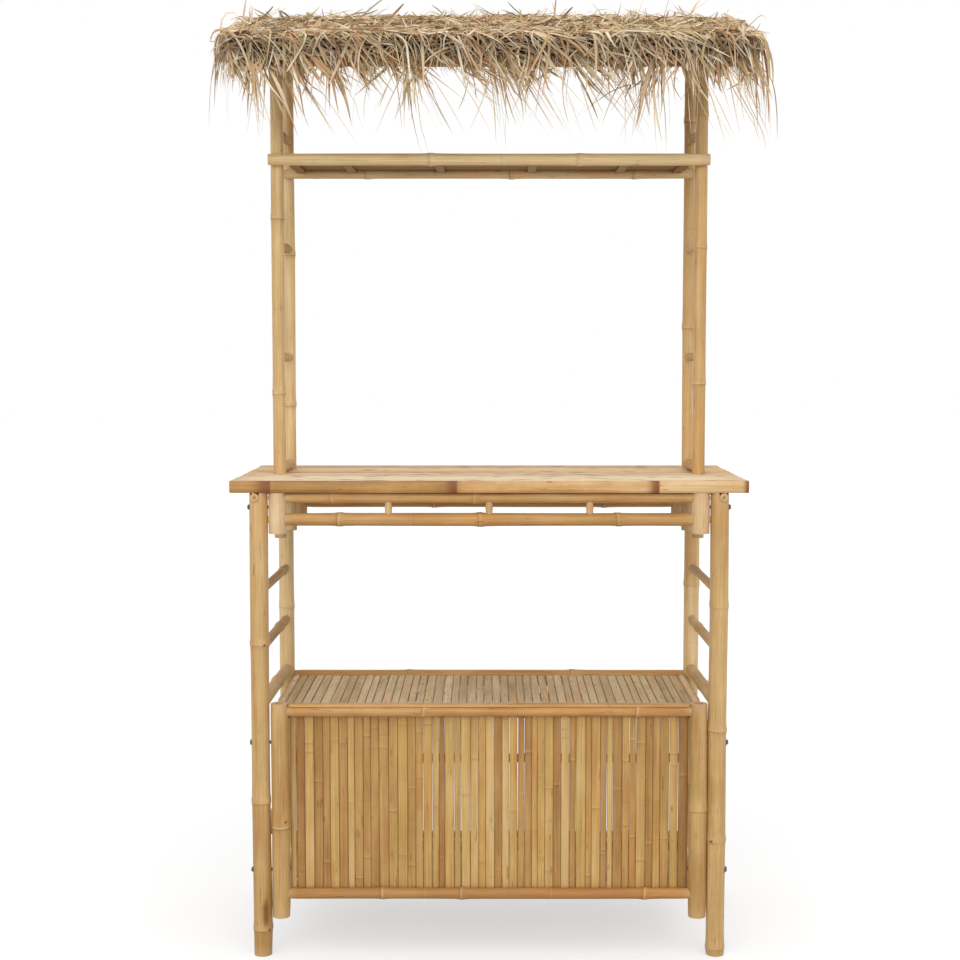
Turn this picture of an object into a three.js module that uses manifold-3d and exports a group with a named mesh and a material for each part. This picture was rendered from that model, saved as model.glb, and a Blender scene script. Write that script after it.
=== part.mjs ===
// A bamboo bar hut: a counter on a ladder-sided leg frame, a slatted cabinet below it, and
// a canopy frame with a rack and a thatched roof, whose posts pass down through the counter.
// The roof slopes down to the front. Millimetres, +Z up, the customers' side towards -Y. The
// origin is on the floor, under the middle of the counter.
import * as THREE from "three";
import { mergeVertices } from "three/addons/utils/BufferGeometryUtils.js";
import Module from "manifold-3d";

const wasm = await Module();
wasm.setup();

// Clearances
const fit = 0.3; // between pieces that touch
const postClearance = 1; // round each canopy post in its hole in the counter
const overrun = 2; // how far a cut runs past the face that it opens

// Counter
const counterWidth = 1200;
const counterDepth = 550;
const counterThickness = 28;
const counterHeight = 1128;
const canopySetback = 335; // from the counter's front edge to midway between the posts
const counterStrips = 8;
const stripGap = 1.6;
const stripGapDepth = 2;
const edgeStripDepth = 13;
const edgeStripCrown = 5; // how far the edge strip bulges to the front

// Legs and the ladder rungs between them
const frontLegDiameter = 43;
const rearLegDiameter = 39;
const frontLegEndDistance = 64; // from the counter's end to the leg's axis
const rearLegEndDistance = 70;
const frontLegEdgeDistance = 25; // from the counter's front edge
const rearLegEdgeDistance = 65; // from its rear edge
const topRungDiameter = 20;
const topRungDepth = 10.3; // its axis below the counter
const topRungOffset = 7; // outwards from the legs' axes
const topRungReach = 3; // how far its ends show past the legs
const slimRungDiameter = 20;
const middleRungDiameter = 23;
const thickRungDiameter = 29;
const rungs = [
  { heightShare: 0.7866, diameter: slimRungDiameter },
  { heightShare: 0.6638, diameter: middleRungDiameter },
  { heightShare: 0.5429, diameter: thickRungDiameter },
  { heightShare: 0.2519, diameter: thickRungDiameter },
];

// Apron under the counter
const apronFrontPostDiameter = 42;
const apronRearPostDiameter = 36;
const frontPostGap = 1.5; // between a front leg and the post beside it
const rearPostGap = 0.5;
const apronPostLength = 95.7;
const apronUpperRailDiameter = 24.2;
const apronUpperRailDepth = 12.9; // its axis below the counter
const apronUpperPegDiameter = 12;
const apronLowerRailDiameter = 30;
const apronLowerRailDepth = 63.5;
const apronLowerPegDiameter = 17;
const apronRearRailDiameter = 34;
const apronRearRailDepth = 61;
const pegReach = 0.7; // how far a peg's end shows past its post at the front; flush at the rear
const spindleDiameter = 17;
const spindleSpacing = 234;

// Cabinet
const cabinetPostDiameter = 42;
const cabinetPostFootLength = 54.5; // below the bottom rail's axis
const cabinetPostHeadLength = 19; // above the top rail's axis
const cabinetRailDiameter = 26;
const cabinetTopRailHeight = 584;
const cabinetBottomRailHeight = 146.5;
const rearTopRailDrop = 5; // below the front top rail
const capStripWidth = 22;
const capStripHeight = 7.5;
const capStripSunk = 0.6; // how deep the cap strip is let into the rail
const capStripGap = 3; // to the posts
const slatThickness = 5;
const slatGap = 2.4;
const slatWeb = 1.4; // what holds the slats together at the bottom of each gap
const panelStrips = 50;
const panelLap = 7; // how far the upright strips reach past the rails' middles
const panelBattenShares = [0.2446, 0.7326]; // up from the bottom rail to the top rail
const panelBattenWidth = 20;
const panelBattenThickness = 8;
const shelfSlats = 48;
const shelfDrop = 2; // the slats' top below the front top rail's axis
const floorSlats = 34;
const floorRise = 3.5; // the slats' top above the bottom rail's axis
const sidePoleDiameter = 22;
const sidePoleInset = 26; // inwards from the rear legs' axes
const slatBattenWidth = 25;
const slatBattenThickness = 10;
const slatBattenShares = [0.06, 0.5, 0.94]; // along the slats
const slatRearGap = 4; // the dark line between the slats and the rear rail

// Bolts
const shankDiameter = 8;
const washerDiameter = 19;
const washerThickness = 1.6;
const boltHeadDiameter = 13;
const boltHeadHeight = 5;
const boltHeadCrownShare = 0.55;
const boltSeatDepth = 2; // the flat cut into the leg for the washer
const boltReach = 14; // how far the shank goes into the post behind the leg
const apronBoltDepth = 34.4; // below the counter
const lowerBoltRise = 59; // above the bottom rail's axis
const upperBoltDrop = 73.3; // below the top rail's axis

// Canopy
const canopyPostSpacing = 172; // front to rear, between axes
const canopyFrontPostDiameter = 31;
const canopyRearPostDiameter = 27;
const frontPostEndDistance = 86; // from the counter's end to the post's axis
const rearPostEndDistance = 93;
const canopyPostDepth = 131; // how far the posts reach below the counter
const postBoreDiameter = 19;
const postBoreDepth = 45;
const canopyRungDiameter = 20;
const canopyFootRungDiameter = 26;
const canopyRungSpacing = 271;
const firstRungRise = 285; // above the counter
const canopyRungs = 3;

// Rack under the roof
const rackFrontRailDiameter = 28;
const rackRise = 758; // from the counter to the front rail's axis
const rackFrontOverhang = 17.5; // past the front posts' axes
const rackRearRailDiameter = 23;
const rackRearRailDrop = 15; // below the front rail
const rackRearOverhang = 10;
const rackNotch = 2; // how deep the rails are notched over the posts
const rackStrips = 5;
const rackStripGap = 7;
const rackStripThickness = 5;
const rackStripsGap = 3.5; // to the rear posts
const rackStripsDrop = 1; // the strips' top below the front rail's axis
const rackBattenWidth = 20;
const rackBattenThickness = 9;
const rackBattenLap = 1; // how far the battens are let into the strips
const rackBattenShares = [-0.958, -0.698, -0.246, 0.215, 0.666, 0.958];

// Roof, laid out along its slope
const roofSlope = 16.3; // degrees, up towards the rear
const roofAboveCounter = 1032.5; // to the poles' axes, at the roof's middle
const roofForward = 2.1; // from over the counter's middle to the roof's middle
const roofPoleDiameter = 30;
const roofEndOverhang = 69.5; // from the beams over the posts to the end poles' axes
const roofHalfDepth = 266; // to the long poles' axes
const roofPoleOverhang = 12; // past the poles that they cross
const postSaddleDepth = 9; // how far the posts' tops reach up round the beams
const skirtThickness = 28;
const thatchThickness = 57;
const matCornerRadius = 70;
const skirtInnerRadius = 4;
const matSectionShares = [
  // how far in, as a share of the mat's half depth, and how high, as a share of its height
  [0.03, 0],
  [0, 0.22],
  [0.03, 0.55],
  [0.12, 0.78],
  [0.45, 0.93],
];
const fringeBandHeight = 14;
const fringeBandInset = 3;
const strandWidth = 9;
const strandThickness = 3.4;
const strandSpacing = 24;
const strandRowSpacing = 10;
const strandShortest = 55;
const frontStrandLongest = 170;
const rearStrandLongest = 80;
const frontStrandLeanShare = 0.4; // sideways, of a strand's length
const strandSeed = 7;

// Bamboo nodes, the rings on a pole, as shares of the pole's length
const nodeHeight = 9;
const nodeSwell = 1.2;
const frontLegNodeShares = { left: [0.056, 0.334, 0.674], right: [0.014, 0.25, 0.489, 0.756] };
const rearLegNodeShares = { left: [0.1, 0.37, 0.691], right: [0.15, 0.45, 0.743] };
const cabinetPostNodeShares = { left: [0.42], right: [0.5] };
const canopyFrontNodeShares = { left: [0.3, 0.66], right: [0.32, 0.6, 0.87] };
const canopyRearNodeShares = { left: [0.26, 0.57], right: [0.42, 0.84] };
const longRailNodeShares = [0.18, 0.46, 0.74];
const rackRailNodeShares = [0.363, 0.7];
const canopySides = 12;
const railSides = 10;
const rungSides = 8;

// Places worked out from the sizes
const counterUnder = counterHeight - counterThickness;
const counterFront = -counterDepth / 2;
const counterRear = counterDepth / 2;
const frontLegY = counterFront + frontLegEdgeDistance;
const rearLegY = counterRear - rearLegEdgeDistance;
const canopyMiddle = counterFront + canopySetback;
const frontLegSpan = counterWidth - 2 * frontLegEndDistance;
const rearLegSpan = counterWidth - 2 * rearLegEndDistance;
const apronFrontSpan = frontLegSpan - frontLegDiameter - apronFrontPostDiameter - 2 * frontPostGap;
const apronRearSpan = rearLegSpan - rearLegDiameter - apronRearPostDiameter - 2 * rearPostGap;
const cabinetPostSpan = frontLegSpan - frontLegDiameter - cabinetPostDiameter - 2 * frontPostGap;
const sidePoleSpan = rearLegSpan - 2 * sidePoleInset;
const canopyFrontSpan = counterWidth - 2 * frontPostEndDistance;
const canopyRearSpan = counterWidth - 2 * rearPostEndDistance;
const legTop = counterUnder - fit;
const topRungHeight = counterUnder - topRungDepth;
const apronUpperRailHeight = counterUnder - apronUpperRailDepth;
const apronLowerRailHeight = counterUnder - apronLowerRailDepth;
const panelFront = frontLegY + cabinetRailDiameter / 2 + nodeSwell + fit;
const panelBack = panelFront + slatThickness;
const roofRise = Math.tan(THREE.MathUtils.degToRad(roofSlope));
const roofHeight = counterHeight + roofAboveCounter;
const roofBeamX = (canopyFrontSpan + canopyRearSpan) / 4;
const roofHalfWidth = roofBeamX + roofEndOverhang;
const frameOuter = roofPoleDiameter / 2 + fit;
const matHalfWidth = roofHalfWidth + frameOuter + skirtThickness;
const matHalfDepth = roofHalfDepth + frameOuter + skirtThickness;
const matBottom = -roofPoleDiameter / 2;
const matTop = frameOuter + thatchThickness;

const sides = [
  { name: "left", sign: -1 },
  { name: "right", sign: 1 },
];
const ends = ["front", "rear"];

// Finishes
const bamboo = (color, roughness) => ({ color, roughness, metalness: 0 });
const finishes = {
  bamboo_pole: bamboo(0xc9a267, 0.45),
  bamboo_pale: bamboo(0xd9b98c, 0.5),
  bamboo_counter: bamboo(0xe6c79e, 0.5),
  bamboo_edge: bamboo(0xc08a4e, 0.45),
  bamboo_strip: bamboo(0xc39a5c, 0.55),
  bamboo_grey: bamboo(0xb59b78, 0.65),
  thatch: bamboo(0xb39b78, 0.9),
  bolt: { color: 0x3b3733, roughness: 0.45, metalness: 0.8 },
};

// Solids: three.js geometry in, manifold solids to join and cut, geometry out
function solidFrom(geometry) {
  const bare = geometry.index ? geometry.toNonIndexed() : geometry.clone();
  for (const name of Object.keys(bare.attributes)) {
    if (name !== "position") bare.deleteAttribute(name);
  }
  const merged = mergeVertices(bare, 1e-4);
  return new wasm.Manifold(
    new wasm.Mesh({
      numProp: 3,
      vertProperties: new Float32Array(merged.attributes.position.array),
      triVerts: new Uint32Array(merged.index.array),
    }),
  );
}

function geometryFrom(solid) {
  const made = solid.getMesh();
  const points = new Float32Array(made.numVert * 3);
  for (let i = 0; i < made.numVert; i++) {
    points.set(made.vertProperties.subarray(i * made.numProp, i * made.numProp + 3), i * 3);
  }
  const indexed = new THREE.BufferGeometry();
  indexed.setAttribute("position", new THREE.BufferAttribute(points, 3));
  indexed.setIndex(new THREE.BufferAttribute(made.triVerts, 1));
  const flat = indexed.toNonIndexed();
  flat.computeVertexNormals();
  return flat;
}

// A turned solid about +Z from a list of [radius, height], both ends on the axis.
function turned(profile, segments) {
  const points = profile.map(([radius, height]) => new THREE.Vector2(radius, height));
  return solidFrom(new THREE.LatheGeometry(points, segments).rotateX(Math.PI / 2));
}

// A rod along +Z from 0 to a length.
function rod(diameter, length, segments) {
  return turned([[0, 0], [diameter / 2, 0], [diameter / 2, length], [0, length]], segments);
}

// A box by its lowest and highest corners.
function block(low, high) {
  const size = high.map((value, i) => value - low[i]);
  const middle = high.map((value, i) => (value + low[i]) / 2);
  return solidFrom(new THREE.BoxGeometry(...size).translate(...middle));
}

// Where a piece stands: its own +Z runs from one point towards another.
function placed(from, to) {
  const start = new THREE.Vector3(...from);
  const direction = new THREE.Vector3(...to).sub(start).normalize();
  const turn = new THREE.Quaternion().setFromUnitVectors(new THREE.Vector3(0, 0, 1), direction);
  return new THREE.Matrix4().compose(start, turn, new THREE.Vector3(1, 1, 1));
}

// A bamboo pole between two points, with a low ring at each node.
function pole({ name, finish = "bamboo_pole", from, to, diameter, nodes = [], segments = railSides }) {
  const length = new THREE.Vector3(...from).distanceTo(new THREE.Vector3(...to));
  const grown = (extra) => {
    const radius = diameter / 2 + extra;
    const profile = [[0, 0], [radius, 0]];
    for (const share of nodes) {
      const height = share * length;
      profile.push([radius, height - nodeHeight / 2]);
      profile.push([radius + nodeSwell, height]);
      profile.push([radius, height + nodeHeight / 2]);
    }
    profile.push([radius, length], [0, length]);
    return turned(profile, segments);
  };
  return { name, finish, matrix: placed(from, to), solid: grown(0), grown };
}

// A piece made of a solid in the hut's own frame.
function fixed(name, finish, solid) {
  return { name, finish, matrix: new THREE.Matrix4(), solid };
}

function inFrameOf(target, piece, solid) {
  const across = target.matrix.clone().invert().multiply(piece.matrix);
  return solid.transform([...across.elements]);
}

// Cuts the room that one piece needs out of another.
function cut(target, cutter, clearance = fit) {
  target.solid = target.solid.subtract(inFrameOf(target, cutter, cutter.grown(clearance)));
}

function join(target, piece) {
  target.solid = target.solid.add(inFrameOf(target, piece, piece.solid));
}

// Legs, each a pole from the floor to the counter
function makeLegs() {
  const legs = {};
  for (const { name, sign } of sides) {
    const frontX = (sign * frontLegSpan) / 2;
    const rearX = (sign * rearLegSpan) / 2;
    legs["front_" + name] = pole({
      name: "leg_front_" + name,
      from: [frontX, frontLegY, 0],
      to: [frontX, frontLegY, legTop],
      diameter: frontLegDiameter,
      nodes: frontLegNodeShares[name],
      segments: canopySides,
    });
    legs["rear_" + name] = pole({
      name: "leg_rear_" + name,
      from: [rearX, rearLegY, 0],
      to: [rearX, rearLegY, legTop],
      diameter: rearLegDiameter,
      nodes: rearLegNodeShares[name],
      segments: canopySides,
    });
  }
  return legs;
}

// Ladder rungs with fish-mouth ends against the legs
function makeRungs(legs) {
  const made = [];
  for (const { name, sign } of sides) {
    rungs.forEach(({ heightShare, diameter }, i) => {
      const height = heightShare * legTop;
      const rung = pole({
        name: "rung_" + name + "_" + (rungs.length - i),
        from: [(sign * frontLegSpan) / 2, frontLegY, height],
        to: [(sign * rearLegSpan) / 2, rearLegY, height],
        diameter,
        segments: rungSides,
      });
      for (const end of ends) cut(rung, legs[end + "_" + name]);
      made.push(rung);
    });
  }
  return made;
}

// The top rung lies in an open saddle in the top of each leg, and its ends show.
function makeTopRungs(legs) {
  return sides.map(({ name, sign }) => {
    const frontX = sign * (frontLegSpan / 2 + topRungOffset);
    const rearX = sign * (rearLegSpan / 2 + topRungOffset);
    const rung = pole({
      name: "rung_" + name + "_top",
      from: [frontX, frontLegY - frontLegDiameter / 2 - topRungReach, topRungHeight],
      to: [rearX, rearLegY + rearLegDiameter / 2 + topRungReach, topRungHeight],
      diameter: topRungDiameter,
      segments: railSides,
    });
    const slotHalf = topRungDiameter / 2 + fit;
    for (const end of ends) {
      const leg = legs[end + "_" + name];
      const diameter = end === "front" ? frontLegDiameter : rearLegDiameter;
      const x = end === "front" ? frontX : rearX;
      const y = end === "front" ? frontLegY : rearLegY;
      const slot = block(
        [x - slotHalf, y - diameter, topRungHeight],
        [x + slotHalf, y + diameter, legTop + overrun],
      );
      cut(leg, rung);
      leg.solid = leg.solid.subtract(inFrameOf(leg, fixed("", "", slot), slot));
    }
    return rung;
  });
}

// Apron: four short posts, rails pegged through them, and spindles between the front rails
function makeApron() {
  const made = [];
  const posts = {};
  for (const { name, sign } of sides) {
    for (const end of ends) {
      const x = (sign * (end === "front" ? apronFrontSpan : apronRearSpan)) / 2;
      const y = end === "front" ? frontLegY : rearLegY;
      posts[end + "_" + name] = pole({
        name: "apron_post_" + end + "_" + name,
        finish: "bamboo_pale",
        from: [x, y, legTop - apronPostLength],
        to: [x, y, legTop],
        diameter: end === "front" ? apronFrontPostDiameter : apronRearPostDiameter,
        segments: canopySides,
      });
      made.push(posts[end + "_" + name]);
    }
  }
  const pegged = (name, end, height, diameter, pegDiameter, postDiameter, nodes) => {
    const y = end === "front" ? frontLegY : rearLegY;
    const half = (end === "front" ? apronFrontSpan : apronRearSpan) / 2;
    const pegHalf = half + postDiameter / 2 + (end === "front" ? pegReach : 0);
    const rail = pole({
      name,
      from: [-half, y, height],
      to: [half, y, height],
      diameter,
      nodes,
    });
    const peg = pole({
      from: [-pegHalf, y, height],
      to: [pegHalf, y, height],
      diameter: pegDiameter,
      segments: rungSides,
    });
    for (const side of sides) {
      const post = posts[end + "_" + side.name];
      cut(rail, post);
      cut(post, peg);
    }
    join(rail, peg);
    made.push(rail);
    return rail;
  };
  const upper = pegged(
    "apron_rail_front_upper",
    "front",
    apronUpperRailHeight,
    apronUpperRailDiameter,
    apronUpperPegDiameter,
    apronFrontPostDiameter,
    [0.1, 0.5],
  );
  const lower = pegged(
    "apron_rail_front_lower",
    "front",
    apronLowerRailHeight,
    apronLowerRailDiameter,
    apronLowerPegDiameter,
    apronFrontPostDiameter,
    [0.12, 0.62],
  );
  pegged(
    "apron_rail_rear",
    "rear",
    counterUnder - apronRearRailDepth,
    apronRearRailDiameter,
    apronLowerPegDiameter,
    apronRearPostDiameter,
    [0.35, 0.8],
  );
  [-1, 0, 1].forEach((step, i) => {
    const x = step * spindleSpacing;
    const spindle = pole({
      name: "apron_spindle_" + (i + 1),
      from: [x, frontLegY, apronLowerRailHeight],
      to: [x, frontLegY, apronUpperRailHeight],
      diameter: spindleDiameter,
      segments: rungSides,
    });
    cut(spindle, lower);
    cut(spindle, upper);
    made.push(spindle);
  });
  return { made, posts };
}

// The outline of a row of slats of equal pitch, grooved between them, crown side up
function slatOutline(width, count, thickness, gap, floorLeft) {
  const pitch = width / count;
  const shape = new THREE.Shape();
  shape.moveTo(-width / 2, 0);
  for (let i = 0; i < count; i++) {
    const from = -width / 2 + i * pitch + (i ? gap / 2 : 0);
    const to = -width / 2 + (i + 1) * pitch - (i < count - 1 ? gap / 2 : 0);
    if (i) shape.lineTo(from, floorLeft);
    shape.lineTo(from, thickness);
    shape.lineTo(to, thickness);
    if (i < count - 1) shape.lineTo(to, floorLeft);
  }
  shape.lineTo(width / 2, 0);
  shape.closePath();
  return shape;
}

function extruded(shape, depth) {
  return new THREE.ExtrudeGeometry(shape, { depth, bevelEnabled: false });
}

// Counter: a board of lengthwise strips, and a half-round strip along its front edge
function makeCounter() {
  const boardFront = counterFront + edgeStripDepth + fit;
  const boardDepth = counterRear - boardFront;
  const outline = slatOutline(
    boardDepth,
    counterStrips,
    counterThickness,
    stripGap,
    counterThickness - stripGapDepth,
  );
  const board = extruded(outline, counterWidth)
    .rotateX(Math.PI / 2)
    .rotateZ(Math.PI / 2)
    .translate(-counterWidth / 2, (boardFront + counterRear) / 2, counterUnder);
  const edge = new THREE.Shape();
  const crownStart = edgeStripDepth - edgeStripCrown;
  edge.moveTo(0, 0);
  edge.lineTo(crownStart, 0);
  edge.quadraticCurveTo(
    crownStart + 2 * edgeStripCrown,
    counterThickness / 2,
    crownStart,
    counterThickness,
  );
  edge.lineTo(0, counterThickness);
  edge.closePath();
  const strip = new THREE.ExtrudeGeometry(edge, {
    depth: counterWidth,
    bevelEnabled: false,
    curveSegments: 5,
  })
    .rotateX(Math.PI / 2)
    .rotateZ(-Math.PI / 2)
    .translate(counterWidth / 2, counterFront + edgeStripDepth, counterUnder);
  return [
    fixed("countertop", "bamboo_counter", solidFrom(board)),
    fixed("counter_edge_front", "bamboo_edge", solidFrom(strip)),
  ];
}

// Cabinet posts and rails
function makeCabinetFrame(legs) {
  const posts = {};
  for (const { name, sign } of sides) {
    const x = (sign * cabinetPostSpan) / 2;
    posts[name] = pole({
      name: "cabinet_post_" + name,
      finish: "bamboo_pale",
      from: [x, frontLegY, cabinetBottomRailHeight - cabinetPostFootLength],
      to: [x, frontLegY, cabinetTopRailHeight + cabinetPostHeadLength],
      diameter: cabinetPostDiameter,
      nodes: cabinetPostNodeShares[name],
      segments: canopySides,
    });
  }
  const rail = (name, span, y, height, holders, nodes) => {
    const made = pole({
      name: "cabinet_rail_" + name,
      from: [-span / 2, y, height],
      to: [span / 2, y, height],
      diameter: cabinetRailDiameter,
      nodes,
    });
    for (const holder of holders) cut(made, holder);
    return made;
  };
  const fronts = [posts.left, posts.right];
  const rears = [legs.rear_left, legs.rear_right];
  const frontTop = rail("front_top", cabinetPostSpan, frontLegY, cabinetTopRailHeight, fronts, [0.34, 0.85]);
  const rails = [
    frontTop,
    rail("front_bottom", cabinetPostSpan, frontLegY, cabinetBottomRailHeight, fronts, [0.24, 0.43, 0.87]),
    rail("rear_top", rearLegSpan, rearLegY, cabinetTopRailHeight - rearTopRailDrop, rears, [0.3, 0.7]),
    rail("rear_bottom", rearLegSpan, rearLegY, cabinetBottomRailHeight, rears, [0.5]),
  ];
  const cap = new THREE.Shape();
  cap.moveTo(-capStripWidth / 2, 0);
  cap.lineTo(capStripWidth / 2, 0);
  cap.quadraticCurveTo(capStripWidth / 2, capStripHeight, 0, capStripHeight);
  cap.quadraticCurveTo(-capStripWidth / 2, capStripHeight, -capStripWidth / 2, 0);
  const capHeight = cabinetTopRailHeight + cabinetRailDiameter / 2 - capStripSunk;
  const capSpan = cabinetPostSpan - cabinetPostDiameter - 2 * capStripGap;
  const strip = new THREE.ExtrudeGeometry(cap, {
    depth: capSpan,
    bevelEnabled: false,
    curveSegments: 4,
  })
    .rotateX(Math.PI / 2)
    .rotateZ(Math.PI / 2)
    .translate(-capSpan / 2, frontLegY, capHeight);
  join(frontTop, fixed("", "", solidFrom(strip)));
  for (const post of fronts) cut(frontTop, post);
  return { posts, rails };
}

// The cabinet's front: upright split strips behind the rails, on two battens
function makePanel(posts) {
  const bottom = cabinetBottomRailHeight - panelLap;
  const top = cabinetTopRailHeight + panelLap;
  const width = cabinetPostSpan - cabinetPostDiameter + 2 * panelLap;
  const outline = slatOutline(width, panelStrips, slatThickness, slatGap, slatWeb);
  const strips = extruded(outline, top - bottom).rotateZ(Math.PI).translate(0, panelBack, bottom);
  const panel = fixed("cabinet_front_panel", "bamboo_strip", solidFrom(strips));
  for (const share of panelBattenShares) {
    const height = cabinetBottomRailHeight + share * (cabinetTopRailHeight - cabinetBottomRailHeight);
    const batten = block(
      [-width / 2, panelBack - slatWeb / 2, height - panelBattenWidth / 2],
      [width / 2, panelBack + panelBattenThickness, height + panelBattenWidth / 2],
    );
    panel.solid = panel.solid.add(batten);
  }
  for (const { name } of sides) cut(panel, posts[name]);
  return panel;
}

// Slats front to back on battens, with a round pole down each side
function makeSlats(name, top, count, rearRail, posts, legs) {
  const front = panelBack + fit;
  const railFront = rearLegY - cabinetRailDiameter / 2;
  const rear = railFront - slatRearGap;
  const width = sidePoleSpan - sidePoleDiameter / 2;
  const under = top - slatThickness;
  const outline = slatOutline(width, count, slatThickness, slatGap, slatWeb);
  const slats = extruded(outline, rear - front).rotateX(Math.PI / 2).translate(0, rear, under);
  const deck = fixed(name, "bamboo_grey", solidFrom(slats));
  for (const share of slatBattenShares) {
    const y = front + share * (rear - front);
    const batten = block(
      [-width / 2, y - slatBattenWidth / 2, under - slatBattenThickness],
      [width / 2, y + slatBattenWidth / 2, under + slatWeb / 2],
    );
    deck.solid = deck.solid.add(batten);
  }
  for (const { name: side, sign } of sides) {
    const x = (sign * sidePoleSpan) / 2;
    join(
      deck,
      pole({
        from: [x, front, top - sidePoleDiameter / 2 + slatWeb],
        to: [x, railFront, top - sidePoleDiameter / 2 + slatWeb],
        diameter: sidePoleDiameter,
        segments: rungSides,
      }),
    );
    cut(deck, posts[side]);
    cut(deck, legs["rear_" + side]);
  }
  cut(deck, rearRail);
  return deck;
}

// A bolt with its washer, its axis along X, its head on a leg's outer side
function bolt(name, sign, y, height, legSpan, legDiameter, postSpan, postDiameter) {
  const seat = legSpan / 2 + legDiameter / 2 - boltSeatDepth;
  const tip = postSpan / 2 + postDiameter / 2 - boltReach;
  const grown = (extra) => {
    const shank = shankDiameter / 2 + extra;
    const washer = washerDiameter / 2 + extra;
    const head = boltHeadDiameter / 2 + extra;
    const faceAt = seat - tip - extra;
    const washerTop = seat - tip + washerThickness;
    const profile = [[0, -extra], [shank, -extra], [shank, faceAt], [washer, faceAt]];
    if (extra) {
      const open = washerTop + boltSeatDepth + overrun;
      profile.push([washer, open], [0, open]);
    } else {
      profile.push([washer, washerTop], [head, washerTop]);
      profile.push([head, washerTop + boltHeadHeight * boltHeadCrownShare]);
      profile.push([head * boltHeadCrownShare, washerTop + boltHeadHeight]);
      profile.push([0, washerTop + boltHeadHeight]);
    }
    return turned(profile, railSides);
  };
  const matrix = placed([sign * tip, y, height], [sign * seat, y, height]);
  return { name, finish: "bolt", matrix, solid: grown(0), grown };
}

function makeBolts(legs, apronPosts, cabinetPosts) {
  const made = [];
  for (const { name, sign } of sides) {
    const leg = legs["front_" + name];
    const into = (boltName, height, post, postSpan, postDiameter) => {
      const fastener = bolt(
        boltName,
        sign,
        frontLegY,
        height,
        frontLegSpan,
        frontLegDiameter,
        postSpan,
        postDiameter,
      );
      cut(leg, fastener);
      cut(post, fastener);
      made.push(fastener);
    };
    const apronPost = apronPosts["front_" + name];
    const apronHeight = counterUnder - apronBoltDepth;
    into("bolt_apron_" + name, apronHeight, apronPost, apronFrontSpan, apronFrontPostDiameter);
    const levels = [
      { level: "_lower", height: cabinetBottomRailHeight + lowerBoltRise },
      { level: "_upper", height: cabinetTopRailHeight - upperBoltDrop },
    ];
    for (const { level, height } of levels) {
      into(
        "bolt_cabinet_" + name + level,
        height,
        cabinetPosts[name],
        cabinetPostSpan,
        cabinetPostDiameter,
      );
    }
  }
  return made;
}

// Canopy posts, saddled to the roof's beams, with hollow lower ends, and their rungs
function makeCanopyFrame(beams) {
  const posts = {};
  const made = [];
  const frontY = canopyMiddle - canopyPostSpacing / 2;
  const rearY = canopyMiddle + canopyPostSpacing / 2;
  for (const { name, sign } of sides) {
    for (const end of ends) {
      const isFront = end === "front";
      const x = (sign * (isFront ? canopyFrontSpan : canopyRearSpan)) / 2;
      const y = isFront ? frontY : rearY;
      const beamBottom = roofHeight + (y + roofForward) * roofRise - roofPoleDiameter / 2;
      const post = pole({
        name: "canopy_post_" + end + "_" + name,
        from: [x, y, counterUnder - canopyPostDepth],
        to: [x, y, beamBottom + postSaddleDepth],
        diameter: isFront ? canopyFrontPostDiameter : canopyRearPostDiameter,
        nodes: (isFront ? canopyFrontNodeShares : canopyRearNodeShares)[name],
        segments: canopySides,
      });
      cut(post, beams[name]);
      posts[end + "_" + name] = post;
      made.push(post);
    }
    const rung = (rungName, height, diameter) => {
      const piece = pole({
        name: rungName,
        from: [(sign * canopyFrontSpan) / 2, frontY, height],
        to: [(sign * canopyRearSpan) / 2, rearY, height],
        diameter,
        segments: rungSides,
      });
      for (const end of ends) cut(piece, posts[end + "_" + name]);
      made.push(piece);
    };
    rung(
      "canopy_rung_" + name + "_foot",
      counterHeight + fit + canopyFootRungDiameter / 2,
      canopyFootRungDiameter,
    );
    for (let i = 0; i < canopyRungs; i++) {
      const height = counterHeight + firstRungRise + i * canopyRungSpacing;
      rung("canopy_rung_" + name + "_" + (i + 1), height, canopyRungDiameter);
    }
  }
  for (const post of Object.values(posts)) {
    const bore = rod(postBoreDiameter, postBoreDepth + overrun, rungSides);
    const lowered = new THREE.Matrix4().makeTranslation(0, 0, -overrun);
    post.solid = post.solid.subtract(bore.transform([...lowered.elements]));
  }
  return { made, posts };
}

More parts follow.
